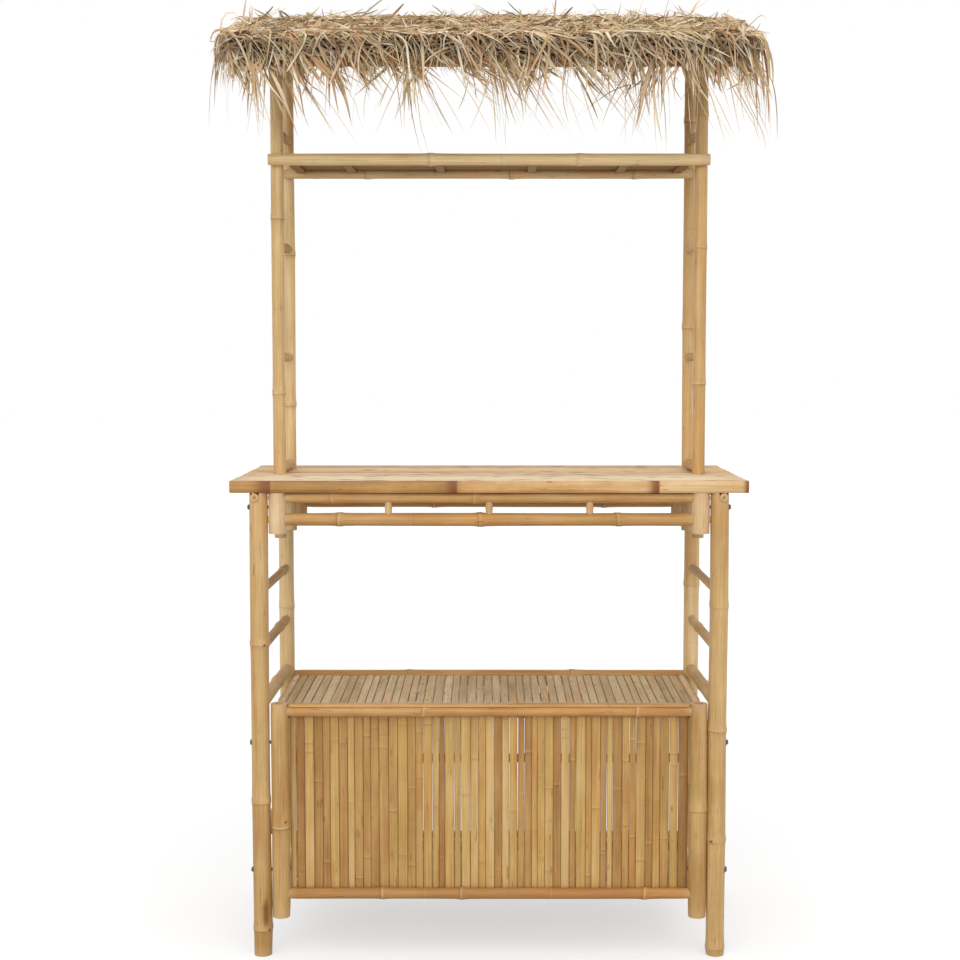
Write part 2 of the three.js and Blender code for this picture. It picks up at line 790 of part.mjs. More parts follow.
// Rack: two rails notched over the posts, and lengthwise strips on small battens
function makeRack(posts) {
  const toPosts = canopyPostSpacing / 2;
  const toFrontRail =
    toPosts + canopyFrontPostDiameter / 2 + rackFrontRailDiameter / 2 - rackNotch;
  const toRearRail = toPosts - canopyRearPostDiameter / 2 - rackRearRailDiameter / 2 + rackNotch;
  const frontY = canopyMiddle - toFrontRail;
  const rearY = canopyMiddle + toRearRail;
  const frontHeight = counterHeight + rackRise;
  const rail = (name, y, height, length, diameter, end) => {
    const made = pole({
      name,
      from: [-length / 2, y, height],
      to: [length / 2, y, height],
      diameter,
      nodes: rackRailNodeShares,
    });
    for (const side of sides) cut(made, posts[end + "_" + side.name]);
    return made;
  };
  const front = rail(
    "rack_rail_front",
    frontY,
    frontHeight,
    canopyFrontSpan + 2 * rackFrontOverhang,
    rackFrontRailDiameter,
    "front",
  );
  const rear = rail(
    "rack_rail_rear",
    rearY,
    frontHeight - rackRearRailDrop,
    canopyRearSpan + 2 * rackRearOverhang,
    rackRearRailDiameter,
    "rear",
  );
  const low = frontY + rackFrontRailDiameter / 2 + fit;
  const high = rearY - rackRearRailDiameter / 2 - fit;
  const pitch = (high - low + rackStripGap) / rackStrips;
  const stripsTop = frontHeight - rackStripsDrop;
  const under = stripsTop - rackStripThickness;
  const half = (canopyRearSpan - canopyRearPostDiameter) / 2 - rackStripsGap;
  let strips;
  const add = (solid) => {
    strips = strips ? strips.add(solid) : solid;
  };
  for (let i = 0; i < rackStrips; i++) {
    const y = low + i * pitch;
    add(
      block(
        [-half, y, under],
        [half, y + pitch - rackStripGap, stripsTop],
      ),
    );
  }
  for (const share of rackBattenShares) {
    const x = share * half;
    add(
      block(
        [x - rackBattenWidth / 2, frontY, under + rackBattenLap - rackBattenThickness],
        [x + rackBattenWidth / 2, rearY, under + rackBattenLap],
      ),
    );
  }
  const deck = fixed("rack_strips", "bamboo_strip", strips);
  cut(deck, front);
  cut(deck, rear);
  return [front, rear, deck];
}

// Turns a piece that is laid out along the roof's slope into its place.
function onRoof(piece) {
  const slope = new THREE.Matrix4().makeRotationX(THREE.MathUtils.degToRad(roofSlope));
  piece.matrix.premultiply(slope.setPosition(0, -roofForward, roofHeight));
  return piece;
}

// Roof frame: long poles front and rear, and cross beams let into them
function makeRoofFrame() {
  const across = (y) =>
    onRoof(
      pole({
        from: [-roofHalfWidth - roofPoleOverhang, y, 0],
        to: [roofHalfWidth + roofPoleOverhang, y, 0],
        diameter: roofPoleDiameter,
        segments: rungSides,
      }),
    );
  const along = (x) =>
    onRoof(
      pole({
        from: [x, -roofHalfDepth, 0],
        to: [x, roofHalfDepth, 0],
        diameter: roofPoleDiameter,
        segments: rungSides,
      }),
    );
  const beams = { left: along(-roofBeamX), right: along(roofBeamX) };
  const frame = { ...across(-roofHalfDepth), name: "roof_frame", finish: "bamboo_pale" };
  join(frame, across(roofHalfDepth));
  for (const x of [-roofHalfWidth, 0, roofHalfWidth]) join(frame, along(x));
  for (const { name } of sides) join(frame, beams[name]);
  return { frame, beams };
}

// Points of a rectangle with round corners, anticlockwise seen from above
function roundedRing(halfWidth, halfDepth, radius, height) {
  const steps = 4;
  const points = [];
  for (let corner = 0; corner < 4; corner++) {
    const signX = corner === 0 || corner === 3 ? 1 : -1;
    const signY = corner < 2 ? 1 : -1;
    for (let i = 0; i <= steps; i++) {
      const angle = ((corner + i / steps) * Math.PI) / 2;
      points.push([
        signX * (halfWidth - radius) + radius * Math.cos(angle),
        signY * (halfDepth - radius) + radius * Math.sin(angle),
        height,
      ]);
    }
  }
  return points;
}

// A closed skin through rings of points: capped by a point at each end, or joined round
function skin(rings, firstCap, lastCap) {
  const count = rings[0].length;
  const points = rings.flat();
  const faces = [];
  const strip = (a, b) => {
    for (let i = 0; i < count; i++) {
      const j = (i + 1) % count;
      faces.push(a * count + i, a * count + j, b * count + j);
      faces.push(a * count + i, b * count + j, b * count + i);
    }
  };
  for (let i = 1; i < rings.length; i++) strip(i - 1, i);
  if (firstCap) {
    points.push(firstCap, lastCap);
    const last = (rings.length - 1) * count;
    for (let i = 0; i < count; i++) {
      const j = (i + 1) % count;
      faces.push(points.length - 2, j, i);
      faces.push(points.length - 1, last + i, last + j);
    }
  } else {
    strip(rings.length - 1, 0);
  }
  const geometry = new THREE.BufferGeometry();
  geometry.setAttribute("position", new THREE.Float32BufferAttribute(points.flat(), 3));
  geometry.setIndex(faces);
  return solidFrom(geometry);
}

// Thatch mat: a low crown on the roof frame, with a skirt round the frame's sides
function makeMat() {
  const ring = (insetShare, heightShare) => {
    const inset = insetShare * matHalfDepth;
    return roundedRing(
      matHalfWidth - inset,
      matHalfDepth - inset,
      matCornerRadius,
      matBottom + heightShare * (matTop - matBottom),
    );
  };
  const inner = (height) =>
    roundedRing(
      matHalfWidth - skirtThickness,
      matHalfDepth - skirtThickness,
      skirtInnerRadius,
      height,
    );
  const rings = [inner(frameOuter), inner(matBottom)];
  for (const [insetShare, heightShare] of matSectionShares) rings.push(ring(insetShare, heightShare));
  const solid = skin(rings, [0, 0, frameOuter], [0, 0, matTop]);
  return onRoof(fixed("thatch_mat", "thatch", solid));
}

// A repeatable stream of numbers from 0 to 1
function numbers(seed) {
  let state = seed;
  return () => {
    state = (state * 16807) % 2147483647;
    return state / 2147483647;
  };
}

// One hanging strand: a flat three-sided spike from its root down to its tip
function strand(root, tip, wide) {
  const start = new THREE.Vector3(...root);
  const down = new THREE.Vector3(...tip).sub(start);
  const length = down.length();
  down.normalize();
  const thin = new THREE.Vector3().crossVectors(down, new THREE.Vector3(...wide)).normalize();
  const across = new THREE.Vector3().crossVectors(thin, down);
  const spike = new THREE.ConeGeometry(1, length, 3, 1)
    .rotateX(Math.PI / 2)
    .translate(0, 0, length / 2)
    .scale(strandWidth / 2, strandThickness / 2, 1)
    .applyMatrix4(new THREE.Matrix4().makeBasis(across, thin, down).setPosition(start));
  return solidFrom(spike);
}

// Fringe: half of a band under the mat's skirt, with the strands that hang straight down from it
function makeFringe(name, sign) {
  const random = numbers(strandSeed + sign);
  const slope = THREE.MathUtils.degToRad(roofSlope);
  const longest = sign < 0 ? frontStrandLongest : rearStrandLongest;
  const leanShare = sign < 0 ? frontStrandLeanShare : 0;
  const outerX = matHalfWidth - fringeBandInset;
  const outerY = matHalfDepth - fringeBandInset;
  const innerX = roofHalfWidth + frameOuter;
  const innerY = roofHalfDepth + frameOuter;
  const bandTop = matBottom - fit;
  const bandBottom = bandTop - fringeBandHeight;
  const whole = skin([
    roundedRing(outerX, outerY, matCornerRadius, bandBottom),
    roundedRing(outerX, outerY, matCornerRadius, bandTop),
    roundedRing(innerX, innerY, skirtInnerRadius, bandTop),
    roundedRing(innerX, innerY, skirtInnerRadius, bandBottom),
  ]);
  const farX = matHalfWidth + overrun;
  const farY = matHalfDepth + overrun;
  const low = sign < 0 ? -farY : fit / 2;
  const high = sign < 0 ? -fit / 2 : farY;
  const keep = block([-farX, low, bandBottom - overrun], [farX, high, bandTop + overrun]);
  let solid = whole.intersect(keep);
  const rootHeight = bandBottom + fringeBandHeight / 2;
  const hang = (x, y, share, wide) => {
    const length = strandShortest + (longest - strandShortest) * random() ** 2;
    const tip = [
      x + share * length,
      y - length * Math.sin(slope),
      rootHeight - length * Math.cos(slope),
    ];
    solid = solid.add(strand([x, y, rootHeight], tip, wide));
  };
  const rows = [-strandRowSpacing / 2, strandRowSpacing / 2];
  const rootX = (outerX + innerX) / 2;
  const rootY = (outerY + innerY) / 2;
  const straight = outerX - matCornerRadius;
  const along = Math.floor((2 * straight) / strandSpacing);
  for (let i = 0; i < along; i++) {
    rows.forEach((row, r) => {
      const x = -straight + (i + (r + 1) / (rows.length + 1)) * strandSpacing;
      hang(x, sign * (rootY + row), leanShare, [1, 0, 0]);
    });
  }
  const deep = outerY - matCornerRadius;
  const across = Math.floor(deep / strandSpacing);
  for (const side of sides) {
    for (let i = 0; i < across; i++) {
      rows.forEach((row, r) => {
        const y = sign * (i + (r + 1) / (rows.length + 1)) * strandSpacing;
        hang(side.sign * (rootX + row), y, 0, [0, 1, 0]);
      });
    }
  }
  return onRoof(fixed(name, "thatch", solid));
}

// Assembly
const legs = makeLegs();
const ladder = makeRungs(legs);
const topRungs = makeTopRungs(legs);
const apron = makeApron();
const [countertop, edgeStrip] = makeCounter();
const cabinet = makeCabinetFrame(legs);
const panel = makePanel(cabinet.posts);
const [, , rearTopRail, rearBottomRail] = cabinet.rails;
const shelf = makeSlats(
  "cabinet_top_slats",
  cabinetTopRailHeight - shelfDrop,
  shelfSlats,
  rearTopRail,
  cabinet.posts,
  legs,
);
const floor = makeSlats(
  "cabinet_floor_slats",
  cabinetBottomRailHeight + floorRise,
  floorSlats,
  rearBottomRail,
  cabinet.posts,
  legs,
);
const bolts = makeBolts(legs, apron.posts, cabinet.posts);
const roof = makeRoofFrame();
const canopy = makeCanopyFrame(roof.beams);
const rack = makeRack(canopy.posts);
for (const post of Object.values(canopy.posts)) cut(countertop, post, postClearance);

const bar = new THREE.Group();
const top = new THREE.Group();
const group = new THREE.Group();
group.add(bar, top);

function show(pieces, parent) {
  for (const piece of pieces) {
    const material = new THREE.MeshStandardMaterial(finishes[piece.finish]);
    const mesh = new THREE.Mesh(geometryFrom(piece.solid), material);
    mesh.name = piece.name;
    mesh.applyMatrix4(piece.matrix);
    parent.add(mesh);
  }
}

show(Object.values(legs), bar);
show(ladder, bar);
show(topRungs, bar);
show([countertop, edgeStrip], bar);
show(apron.made, bar);
show(Object.values(cabinet.posts), bar);
show(cabinet.rails, bar);
show([shelf, panel, floor], bar);
show(bolts, bar);
show(canopy.made, top);
show(rack, top);
show([roof.frame, makeMat()], top);
show([makeFringe("thatch_fringe_front", -1), makeFringe("thatch_fringe_rear", 1)], top);

export default group;
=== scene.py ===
import math

import bpy
import numpy as np
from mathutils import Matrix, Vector


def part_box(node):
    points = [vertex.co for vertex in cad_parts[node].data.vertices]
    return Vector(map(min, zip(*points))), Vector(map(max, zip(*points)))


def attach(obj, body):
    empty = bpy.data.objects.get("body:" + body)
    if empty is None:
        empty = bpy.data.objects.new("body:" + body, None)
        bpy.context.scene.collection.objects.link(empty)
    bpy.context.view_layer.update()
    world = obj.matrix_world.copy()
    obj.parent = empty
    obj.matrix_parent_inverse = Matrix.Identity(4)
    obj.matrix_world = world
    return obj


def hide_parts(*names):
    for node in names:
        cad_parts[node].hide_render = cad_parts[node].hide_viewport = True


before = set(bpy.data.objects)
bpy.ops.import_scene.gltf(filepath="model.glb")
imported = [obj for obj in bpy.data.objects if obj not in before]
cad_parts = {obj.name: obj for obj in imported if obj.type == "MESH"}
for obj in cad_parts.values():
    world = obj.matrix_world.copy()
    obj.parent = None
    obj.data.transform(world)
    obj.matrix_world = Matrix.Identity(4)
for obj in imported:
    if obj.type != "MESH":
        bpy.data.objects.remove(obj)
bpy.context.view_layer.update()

UP = np.array([0.0, 0.0, 1.0])
TO_FRONT = np.array([0.0, -1.0, 0.0])
TO_RIGHT = np.array([1.0, 0.0, 0.0])
SIDES = {"left": -1, "right": 1}
ENDS = ("front", "rear")
FULL_TURN = 2 * math.pi
STEEP = 0.9  # above this share along an axis, that axis is no help in finding a side
GAP = 0.0003  # between pieces that touch
GRAIN_SHIFT = 20  # how far the grain of each pole and strip is shifted at most
random = np.random.default_rng(21)


def corners(node):
    low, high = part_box(node)
    return np.array(low), np.array(high)


def middle(node):
    low, high = corners(node)
    return (low + high) / 2


def axis_of(node):
    """Where an upright pole's axis meets the floor plan."""
    return tuple(middle(node)[:2])


def unit(vector):
    return vector / np.linalg.norm(vector, axis=-1, keepdims=True)


def columns(*parts):
    """Arrays of numbers side by side, as rows of points."""
    return np.stack(parts, axis=1)


def add_object(name, data):
    made = bpy.data.objects.new(name, data)
    bpy.context.scene.collection.objects.link(made)
    return made


# Camera at the photograph's angle
CAMERA_DISTANCE = 4.003
CAMERA_HEIGHT = 1.418
CAMERA_PITCH = 4.41  # degrees, down
CAMERA_LENS = 60.8
CAMERA_SENSOR = 36
CAMERA_SHIFT = -0.0095
CAMERA_REACH = 200


def add_camera():
    data = bpy.data.cameras.new("camera")
    data.lens = CAMERA_LENS
    data.sensor_width = CAMERA_SENSOR
    data.shift_x = CAMERA_SHIFT
    data.clip_end = CAMERA_REACH
    camera = add_object("camera", data)
    camera.location = (0, -CAMERA_DISTANCE, CAMERA_HEIGHT)
    camera.rotation_euler = (math.radians(90 - CAMERA_PITCH), 0, 0)
    bpy.context.scene.camera = camera


# Surface values that the materials read, one number a vertex. The rim value is painted shade along the
# sides of strips and boards and on blades close to the mat, and the value for knots, burns and stains also
# carries painted shade on the floors of bores.
VALUES = ("ring", "scar", "knot", "end", "rim", "tone")
SHARP_ANGLE = 30


class Shell:
    """Gathers the surfaces of one piece, and makes its mesh."""

    def __init__(self):
        self.points = []
        self.faces = []
        self.grain = []
        self.values = {name: [] for name in VALUES}
        self.count = 0

    def add(self, points, faces, grain, **values):
        self.points.append(np.asarray(points, float))
        self.faces.extend([[i + self.count for i in face] for face in faces])
        self.grain.append(np.asarray(grain, float))
        for name in VALUES:
            given = np.asarray(values.get(name, 0.0), float)
            self.values[name].append(np.broadcast_to(given, (len(points),)))
        self.count += len(points)

    def piece(self, name, body, material, replaced=None, sharp=SHARP_ANGLE):
        """Makes the piece, which replaces the node of its own name where nothing else is said."""
        mesh = bpy.data.meshes.new(name)
        mesh.from_pydata(np.concatenate(self.points).tolist(), [], self.faces)
        mesh.polygons.foreach_set("use_smooth", [True] * len(mesh.polygons))
        mesh.set_sharp_from_angle(angle=math.radians(sharp))
        grain = mesh.attributes.new("grain", "FLOAT_VECTOR", "POINT")
        grain.data.foreach_set("vector", np.concatenate(self.grain).astype(np.float32).ravel())
        for key in VALUES:
            stored = mesh.attributes.new(key, "FLOAT", "POINT")
            stored.data.foreach_set("value", np.concatenate(self.values[key]).astype(np.float32))
        mesh.materials.append(material)
        mesh.validate()
        made = add_object(name, mesh)
        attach(made, body)
        replaced = [name] if replaced is None else replaced
        if replaced:
            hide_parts(*replaced)
        return made


def tube_faces(rows, around):
    """Quads between closed rows of points, each row after the one before, and a cap at each end."""
    faces = []
    for low in range(0, (rows - 1) * around, around):
        for column in range(around):
            beside = (column + 1) % around
            faces.append([low + column, low + beside, low + around + beside, low + around + column])
    last = (rows - 1) * around
    return faces + [list(range(around))[::-1], list(range(last, last + around))]


# Bamboo poles
POLE_SIDES = 30
THIN_POLE_SIDES = 20
STATION_SPACING = 0.03
CLOSEST_STATIONS = 0.0006
RING_OFFSETS = (-0.016, -0.009, -0.005, -0.0025, -0.0012, 0, 0.0012, 0.0025, 0.005, 0.009, 0.016)
RING_MARGIN = 0.002  # how near to a pole's end the stations round its nodes come
SCAR_HEIGHT = 0.0009  # the sharp line of a node
SCAR_WIDTH = 0.0014
RIDGE_HEIGHT = 0.0011  # the low swelling above it
RIDGE_WIDTH = 0.005
RIDGE_RISE = 0.006
FLARE_HEIGHT = 0.0009  # the wide flare round it
FLARE_WIDTH = 0.016
NODE_RISES = (0.7, 1.25)  # how much lower or higher than that a node is
NODE_TILT = 0.0016
KNOT_HEIGHT = 0.0024
KNOT_LENGTH = 0.006
KNOT_ANGLE = 0.3
KNOT_HOLE = 0.0035  # how deep a knot's hole is
KNOT_HOLE_SHARPNESS = 6
KNOT_DARK_SHARPNESS = 5
BURN_SHADE = 0.62
# painted shade on the floor of a bore, carried with the knot and stain marks
BORE_SHADE = 0.65
BORE_DEPTH = 0.012
BORE_TAPER = 0.97
CAP_SHARES = (0.02, 0.05)  # how near to the middle a bore's floor and a solid end begin
EDGE_SHADE = 0.6
KINK = 0.0011  # how far a pole wanders from a straight line at its nodes
SWELL = 0.012  # a share of the radius
OVAL = 0.00025  # how far from round a pole is
OVAL_TWIST = 9
EDGE_ROUNDING = 0.0007
CAP_MARGIN = 2.2 * EDGE_ROUNDING
END_FADE = 0.012  # how far from a shaped end the rows of points lie askew
RING_RANGE = 0.05
LINE_STRENGTHS = (0.15, 0.55)
POLE_TONES = (0.35, 0.7)
TONE_CHANGE = 0.1  # between one internode and the next
FAR_AWAY = 1.0


def node_profile(distance):
    scar = SCAR_HEIGHT * np.exp(-((distance / SCAR_WIDTH) ** 2))
    ridge = RIDGE_HEIGHT * np.exp(-(((distance - RIDGE_RISE) / RIDGE_WIDTH) ** 2))
    flare = FLARE_HEIGHT * np.exp(-(((distance - RIDGE_RISE) / FLARE_WIDTH) ** 2))
    return scar + ridge + flare


def station_list(length, rings, spacing):
    count = max(2, int(round(length / spacing)))
    stations = list(np.linspace(0, length, count + 1))
    for ring in rings:
        near = [ring + offset for offset in RING_OFFSETS]
        stations += [place for place in near if RING_MARGIN < place < length - RING_MARGIN]
    stations = sorted(stations)
    kept = [stations[0]]
    for station in stations[1:-1]:
        if min(station - kept[-1], length - station) > CLOSEST_STATIONS:
            kept.append(station)
    return np.array(kept + [length])


def mouth(holder_axis, holder_radius):
    """The fish-mouth of a pole whose end point lies on its holder's axis."""
    def shape(offsets, direction):
        sideways = offsets @ unit(np.cross(holder_axis, direction))
        reach = holder_radius + GAP
        return np.sqrt(np.maximum(reach**2 - sideways**2, 0))
    return shape


def saddle(axis_x, axis_height, radius, top, rise=0.0, walls=False):
    """The hollow in a pole's top for a round pole that crosses it front to back."""
    def shape(offsets, direction):
        sideways = offsets[:, 0] - axis_x
        reach = radius + GAP
        axis = axis_height + rise * offsets[:, 1]
        floor = axis - np.sqrt(np.maximum(reach**2 - sideways**2, 0))
        level = np.where(np.abs(sideways) < reach, floor, top if walls else axis)
        return np.maximum(top - np.minimum(level, top), 0)
    return shape


def flat(offsets, direction):
    return np.zeros(len(offsets))


def pole(shell, start, end, diameter, rings=(), knots=(), burns=(), start_shape=flat, end_shape=flat,
         bores=(0, 0), bore_depth=BORE_DEPTH, tone=None, line=1.0, kink=KINK, sides=POLE_SIDES):
    """A bamboo pole: rings are shares of its length, knots are (share, angle) pairs, and burns
    are brown streaks as (share, half length, angle, half angle). A tone may be given for each
    internode."""
    start = np.array(start, float)
    end = np.array(end, float)
    length = float(np.linalg.norm(end - start))
    direction = (end - start) / length
    reference = TO_RIGHT if abs(direction[0]) < STEEP else UP
    side = unit(np.cross(direction, reference))
    other = np.cross(direction, side)
    angles = np.arange(sides) * FULL_TURN / sides
    spokes = np.outer(np.cos(angles), side) + np.outer(np.sin(angles), other)
    radius = diameter / 2
    ring_places = np.array([share * length for share in rings] or [-FAR_AWAY])
    steps = np.sort(ring_places[ring_places > 0])
    detailed = [place for place in ring_places if place > 0] + [share * length for share, angle in knots]
    stations = station_list(length, detailed, STATION_SPACING)
    tone = random.uniform(*POLE_TONES) if tone is None else tone
    seed = random.uniform(-GRAIN_SHIFT, GRAIN_SHIFT, 3)
    count = len(ring_places)
    shades = np.full(count + 1, tone) + random.uniform(-TONE_CHANGE, TONE_CHANGE, count + 1)

    bend_at = np.concatenate([[0], steps, [length]])
    bends = random.uniform(-kink, kink, (len(bend_at), 2))
    bends[0] = bends[-1] = 0
    swells = random.uniform(-SWELL, SWELL, len(bend_at))
    wave, _ = random.uniform(0, FULL_TURN, 2)
    tilts = random.uniform(-NODE_TILT, NODE_TILT, (2, count))
    lean = np.outer(np.cos(angles), tilts[0]) + np.outer(np.sin(angles), tilts[1])
    strengths = random.uniform(*LINE_STRENGTHS, count) * line
    rises = random.uniform(*NODE_RISES, count)

    starts = start_shape(spokes * radius, direction)
    stops = end_shape(spokes * radius, -direction)
    start_fade = END_FADE + 2 * starts.max()
    stop_fade = END_FADE + 2 * stops.max()
    rows = []
    values = {name: [] for name in ("place", "ring", "scar", "knot", "end", "tone")}

    def add_row(offsets, **given):
        rows.append(start + offsets + np.outer(given["place"], direction))
        for name, value in given.items():
            values[name].append(np.broadcast_to(value, (sides,)))

    def add_cap(shape, at, sign, bore):
        """Rows between the middle of an end and its rounded edge."""
        shares = [CAP_SHARES[1], 0.5, 1 - CAP_MARGIN / radius]
        made = []
        if bore:
            bore_share = bore / diameter
            made = [(CAP_SHARES[0], bore_depth), (bore_share * BORE_TAPER, bore_depth)]
            shares = [bore_share, (1 + bore_share) / 2, shares[-1]]
        made += [(share, 0.0) for share in shares]
        for share, depth in made[::sign]:
            offsets = spokes * radius * share
            place = at + sign * (shape(offsets, sign * direction) + depth)
            # The floor of a bore gets painted shade.
            shade = BORE_SHADE if depth else 0.0
            add_row(offsets, place=place, ring=RING_RANGE, scar=0.0, knot=shade, end=1.0, tone=shades[0])

    def turn_from(angle):
        return np.abs((angles - angle + math.pi) % FULL_TURN - math.pi)

    add_cap(start_shape, 0.0, 1, bores[0])
    for index, station in enumerate(stations):
        place = station + starts * np.maximum(0, 1 - station / start_fade)
        place = place - stops * np.maximum(0, 1 - (length - station) / stop_fade)
        signed = place[:, None] - ring_places[None, :]
        if len(steps):
            signed = signed + lean
        nearest = np.argmin(np.abs(signed), axis=1)
        signed = signed[np.arange(sides), nearest]
        girth = radius * (1 + np.interp(place, bend_at, swells))
        girth = girth + rises[nearest] * node_profile(signed)
        girth = girth + OVAL * np.sin(2 * angles + wave + place * OVAL_TWIST)
        dark = np.zeros(sides)
        for share, angle in knots:
            away = (turn_from(angle) / KNOT_ANGLE) ** 2 + ((place - share * length) / KNOT_LENGTH) ** 2
            girth = girth + KNOT_HEIGHT * np.exp(-away) - KNOT_HOLE * np.exp(-KNOT_HOLE_SHARPNESS * away)
            dark = np.maximum(dark, np.exp(-KNOT_DARK_SHARPNESS * away))
        for share, half, angle, half_angle in burns:
            away = (turn_from(angle) / half_angle) ** 2 + ((place - share * length) / half) ** 4
            dark = np.maximum(dark, BURN_SHADE * np.exp(-away))
        at_edge = index in (0, len(stations) - 1)
        if at_edge:
            girth = np.full(sides, radius - EDGE_ROUNDING)
        lateral = np.outer(np.interp(place, bend_at, bends[:, 0]), side)
        lateral = lateral + np.outer(np.interp(place, bend_at, bends[:, 1]), other)
        add_row(
            lateral + spokes * girth[:, None], place=place,
            ring=np.clip(signed, -RING_RANGE, RING_RANGE), scar=strengths[nearest], knot=dark,
            end=EDGE_SHADE if at_edge else 0.0, tone=shades[np.searchsorted(steps, place)],
        )
    add_cap(end_shape, length, -1, bores[1])

    points = np.concatenate(rows)
    relative = points - start
    values = {name: np.concatenate(listed) for name, listed in values.items()}
    grain = columns(relative @ side, relative @ other, values.pop("place")) + seed
    shell.add(points, tube_faces(len(rows), sides), grain, **values)


# Split bamboo: a section of points across and out, drawn along a line
STRIP_SPACING = 0.05
STRIP_RIDGE = 0.0005
STRIP_RIDGE_WIDTH = 0.003
STRIP_RIDGE_FROM = 0.6  # the share of a strip's thickness above which its nodes stand out
STRIP_CHAMFER = 0.0008
MOST_CHAMFER = 0.1  # a share of a section's width or thickness
STRIP_WAVES = 7
BATTEN_WIDENING = 0.03
STRIP_ROUNDING = 0.0012
BACK_ROUNDING = 0.0003
# Painted shade along the sides of strips and boards: its strength at distances from a section's sides
RIM_PLACES = (0.0003, 0.0013, 0.003)  # from a section's sides
RIM_SHADES = (1.0, 0.4, 0.0)


def drawn(shell, start, end, section, out, rings=(), stains=(), tone=None, line=1.0, widening=0.0,
          spacing=STRIP_SPACING):
    """A closed bar of a given section that widens and narrows along its length. Stains are
    (share, length before, length after, depth), and a tone may be (places, tones)."""
    start = np.array(start, float)
    end = np.array(end, float)
    wide, high = np.array(section, float).T
    length = float(np.linalg.norm(end - start))
    direction = (end - start) / length
    out = unit(np.array(out, float))
    across = np.cross(direction, out)
    ring_places = np.array([share * length for share in rings] or [-FAR_AWAY])
    stations = station_list(length, [place for place in ring_places if place > 0], spacing)
    tone = random.random() if tone is None else tone
    strength = random.uniform(*LINE_STRENGTHS)
    seed = random.uniform(-GRAIN_SHIFT, GRAIN_SHIFT, 3)
    phase, _ = random.uniform(0, FULL_TURN, 2)
    tone_places, tones = tone if isinstance(tone, tuple) else ((0, 1), (tone, tone))
    deepest = high.max()
    widest = np.abs(wide).max()
    # painted shade near the section's sides
    rim = np.interp(widest - np.abs(wide), RIM_PLACES, RIM_SHADES)
    narrowed = 1 - min(MOST_CHAMFER, STRIP_CHAMFER / widest)
    thinned = 1 - min(MOST_CHAMFER, 2 * STRIP_CHAMFER / deepest)
    rows = []
    values = {name: [] for name in ("ring", "knot", "end", "tone")}
    for index, station in enumerate([0.0, *stations, length]):
        signed = station - ring_places
        signed = signed[np.argmin(np.abs(signed))]
        ridge = STRIP_RIDGE * math.exp(-((signed / STRIP_RIDGE_WIDTH) ** 2))
        row_wide = wide * (1 + widening * math.sin(phase + station * STRIP_WAVES))
        row_high = high + ridge * (high > STRIP_RIDGE_FROM * deepest)
        closing = index in (0, len(stations) + 1)
        if closing:
            row_wide = row_wide * narrowed
            row_high = deepest / 2 + (row_high - deepest / 2) * thinned
        rows.append(start + np.outer(row_wide, across) + np.outer(row_high, out) + direction * station)
        stained = 0.0
        for share, before, after, depth in stains:
            away = station - share * length
            stained = max(stained, depth * math.exp(-((away / (before if away < 0 else after)) ** 2)))
        values["ring"].append(np.clip(signed, -RING_RANGE, RING_RANGE))
        values["knot"].append(stained)
        values["end"].append(1.0 if closing else 0.0)
        values["tone"].append(np.interp(station / length, tone_places, tones))
    count = len(section)
    points = np.concatenate(rows)
    relative = points - start
    grain = columns(relative @ across, relative @ out, relative @ direction) + seed
    shell.add(
        points, tube_faces(len(rows), count), grain, scar=strength * line, rim=np.tile(rim, len(rows)),
        **{name: np.repeat(listed, count) for name, listed in values.items()},
    )


def split_section(width, thickness, crown):
    """A flat back, rounded edges and a crowned face."""
    half = width / 2
    edge = min(STRIP_ROUNDING, width / 8)
    side = thickness - crown
    back = BACK_ROUNDING
    points = [(half, back), (half - back, 0), (-half + back, 0), (-half, back)]
    points += [(-half, side - edge), (-half + edge, side)]
    for share in (-0.92, -0.5, 0.0, 0.5, 0.92):
        points.append((share * (half - edge), side + crown * (1 - share**2)))
    return points + [(half - edge, side), (half, side - edge)]


def half_round_section(width, height):
    steps = 12
    points = [(width / 2, 0)]
    for step in range(1, steps):
        angle = math.pi * step / steps
        points.append((width / 2 * math.cos(angle), height * math.sin(angle)))
    return points + [(-width / 2, 0)]


# Materials
def paint(red, green, blue):
    """A display colour of 0 to 255 a channel as the linear colour that Blender takes."""
    linear = []
    for value in (red, green, blue):
        share = value / 255
        linear.append(share / 12.92 if share <= 0.04045 else ((share + 0.055) / 1.055) ** 2.4)
    return (*linear, 1.0)


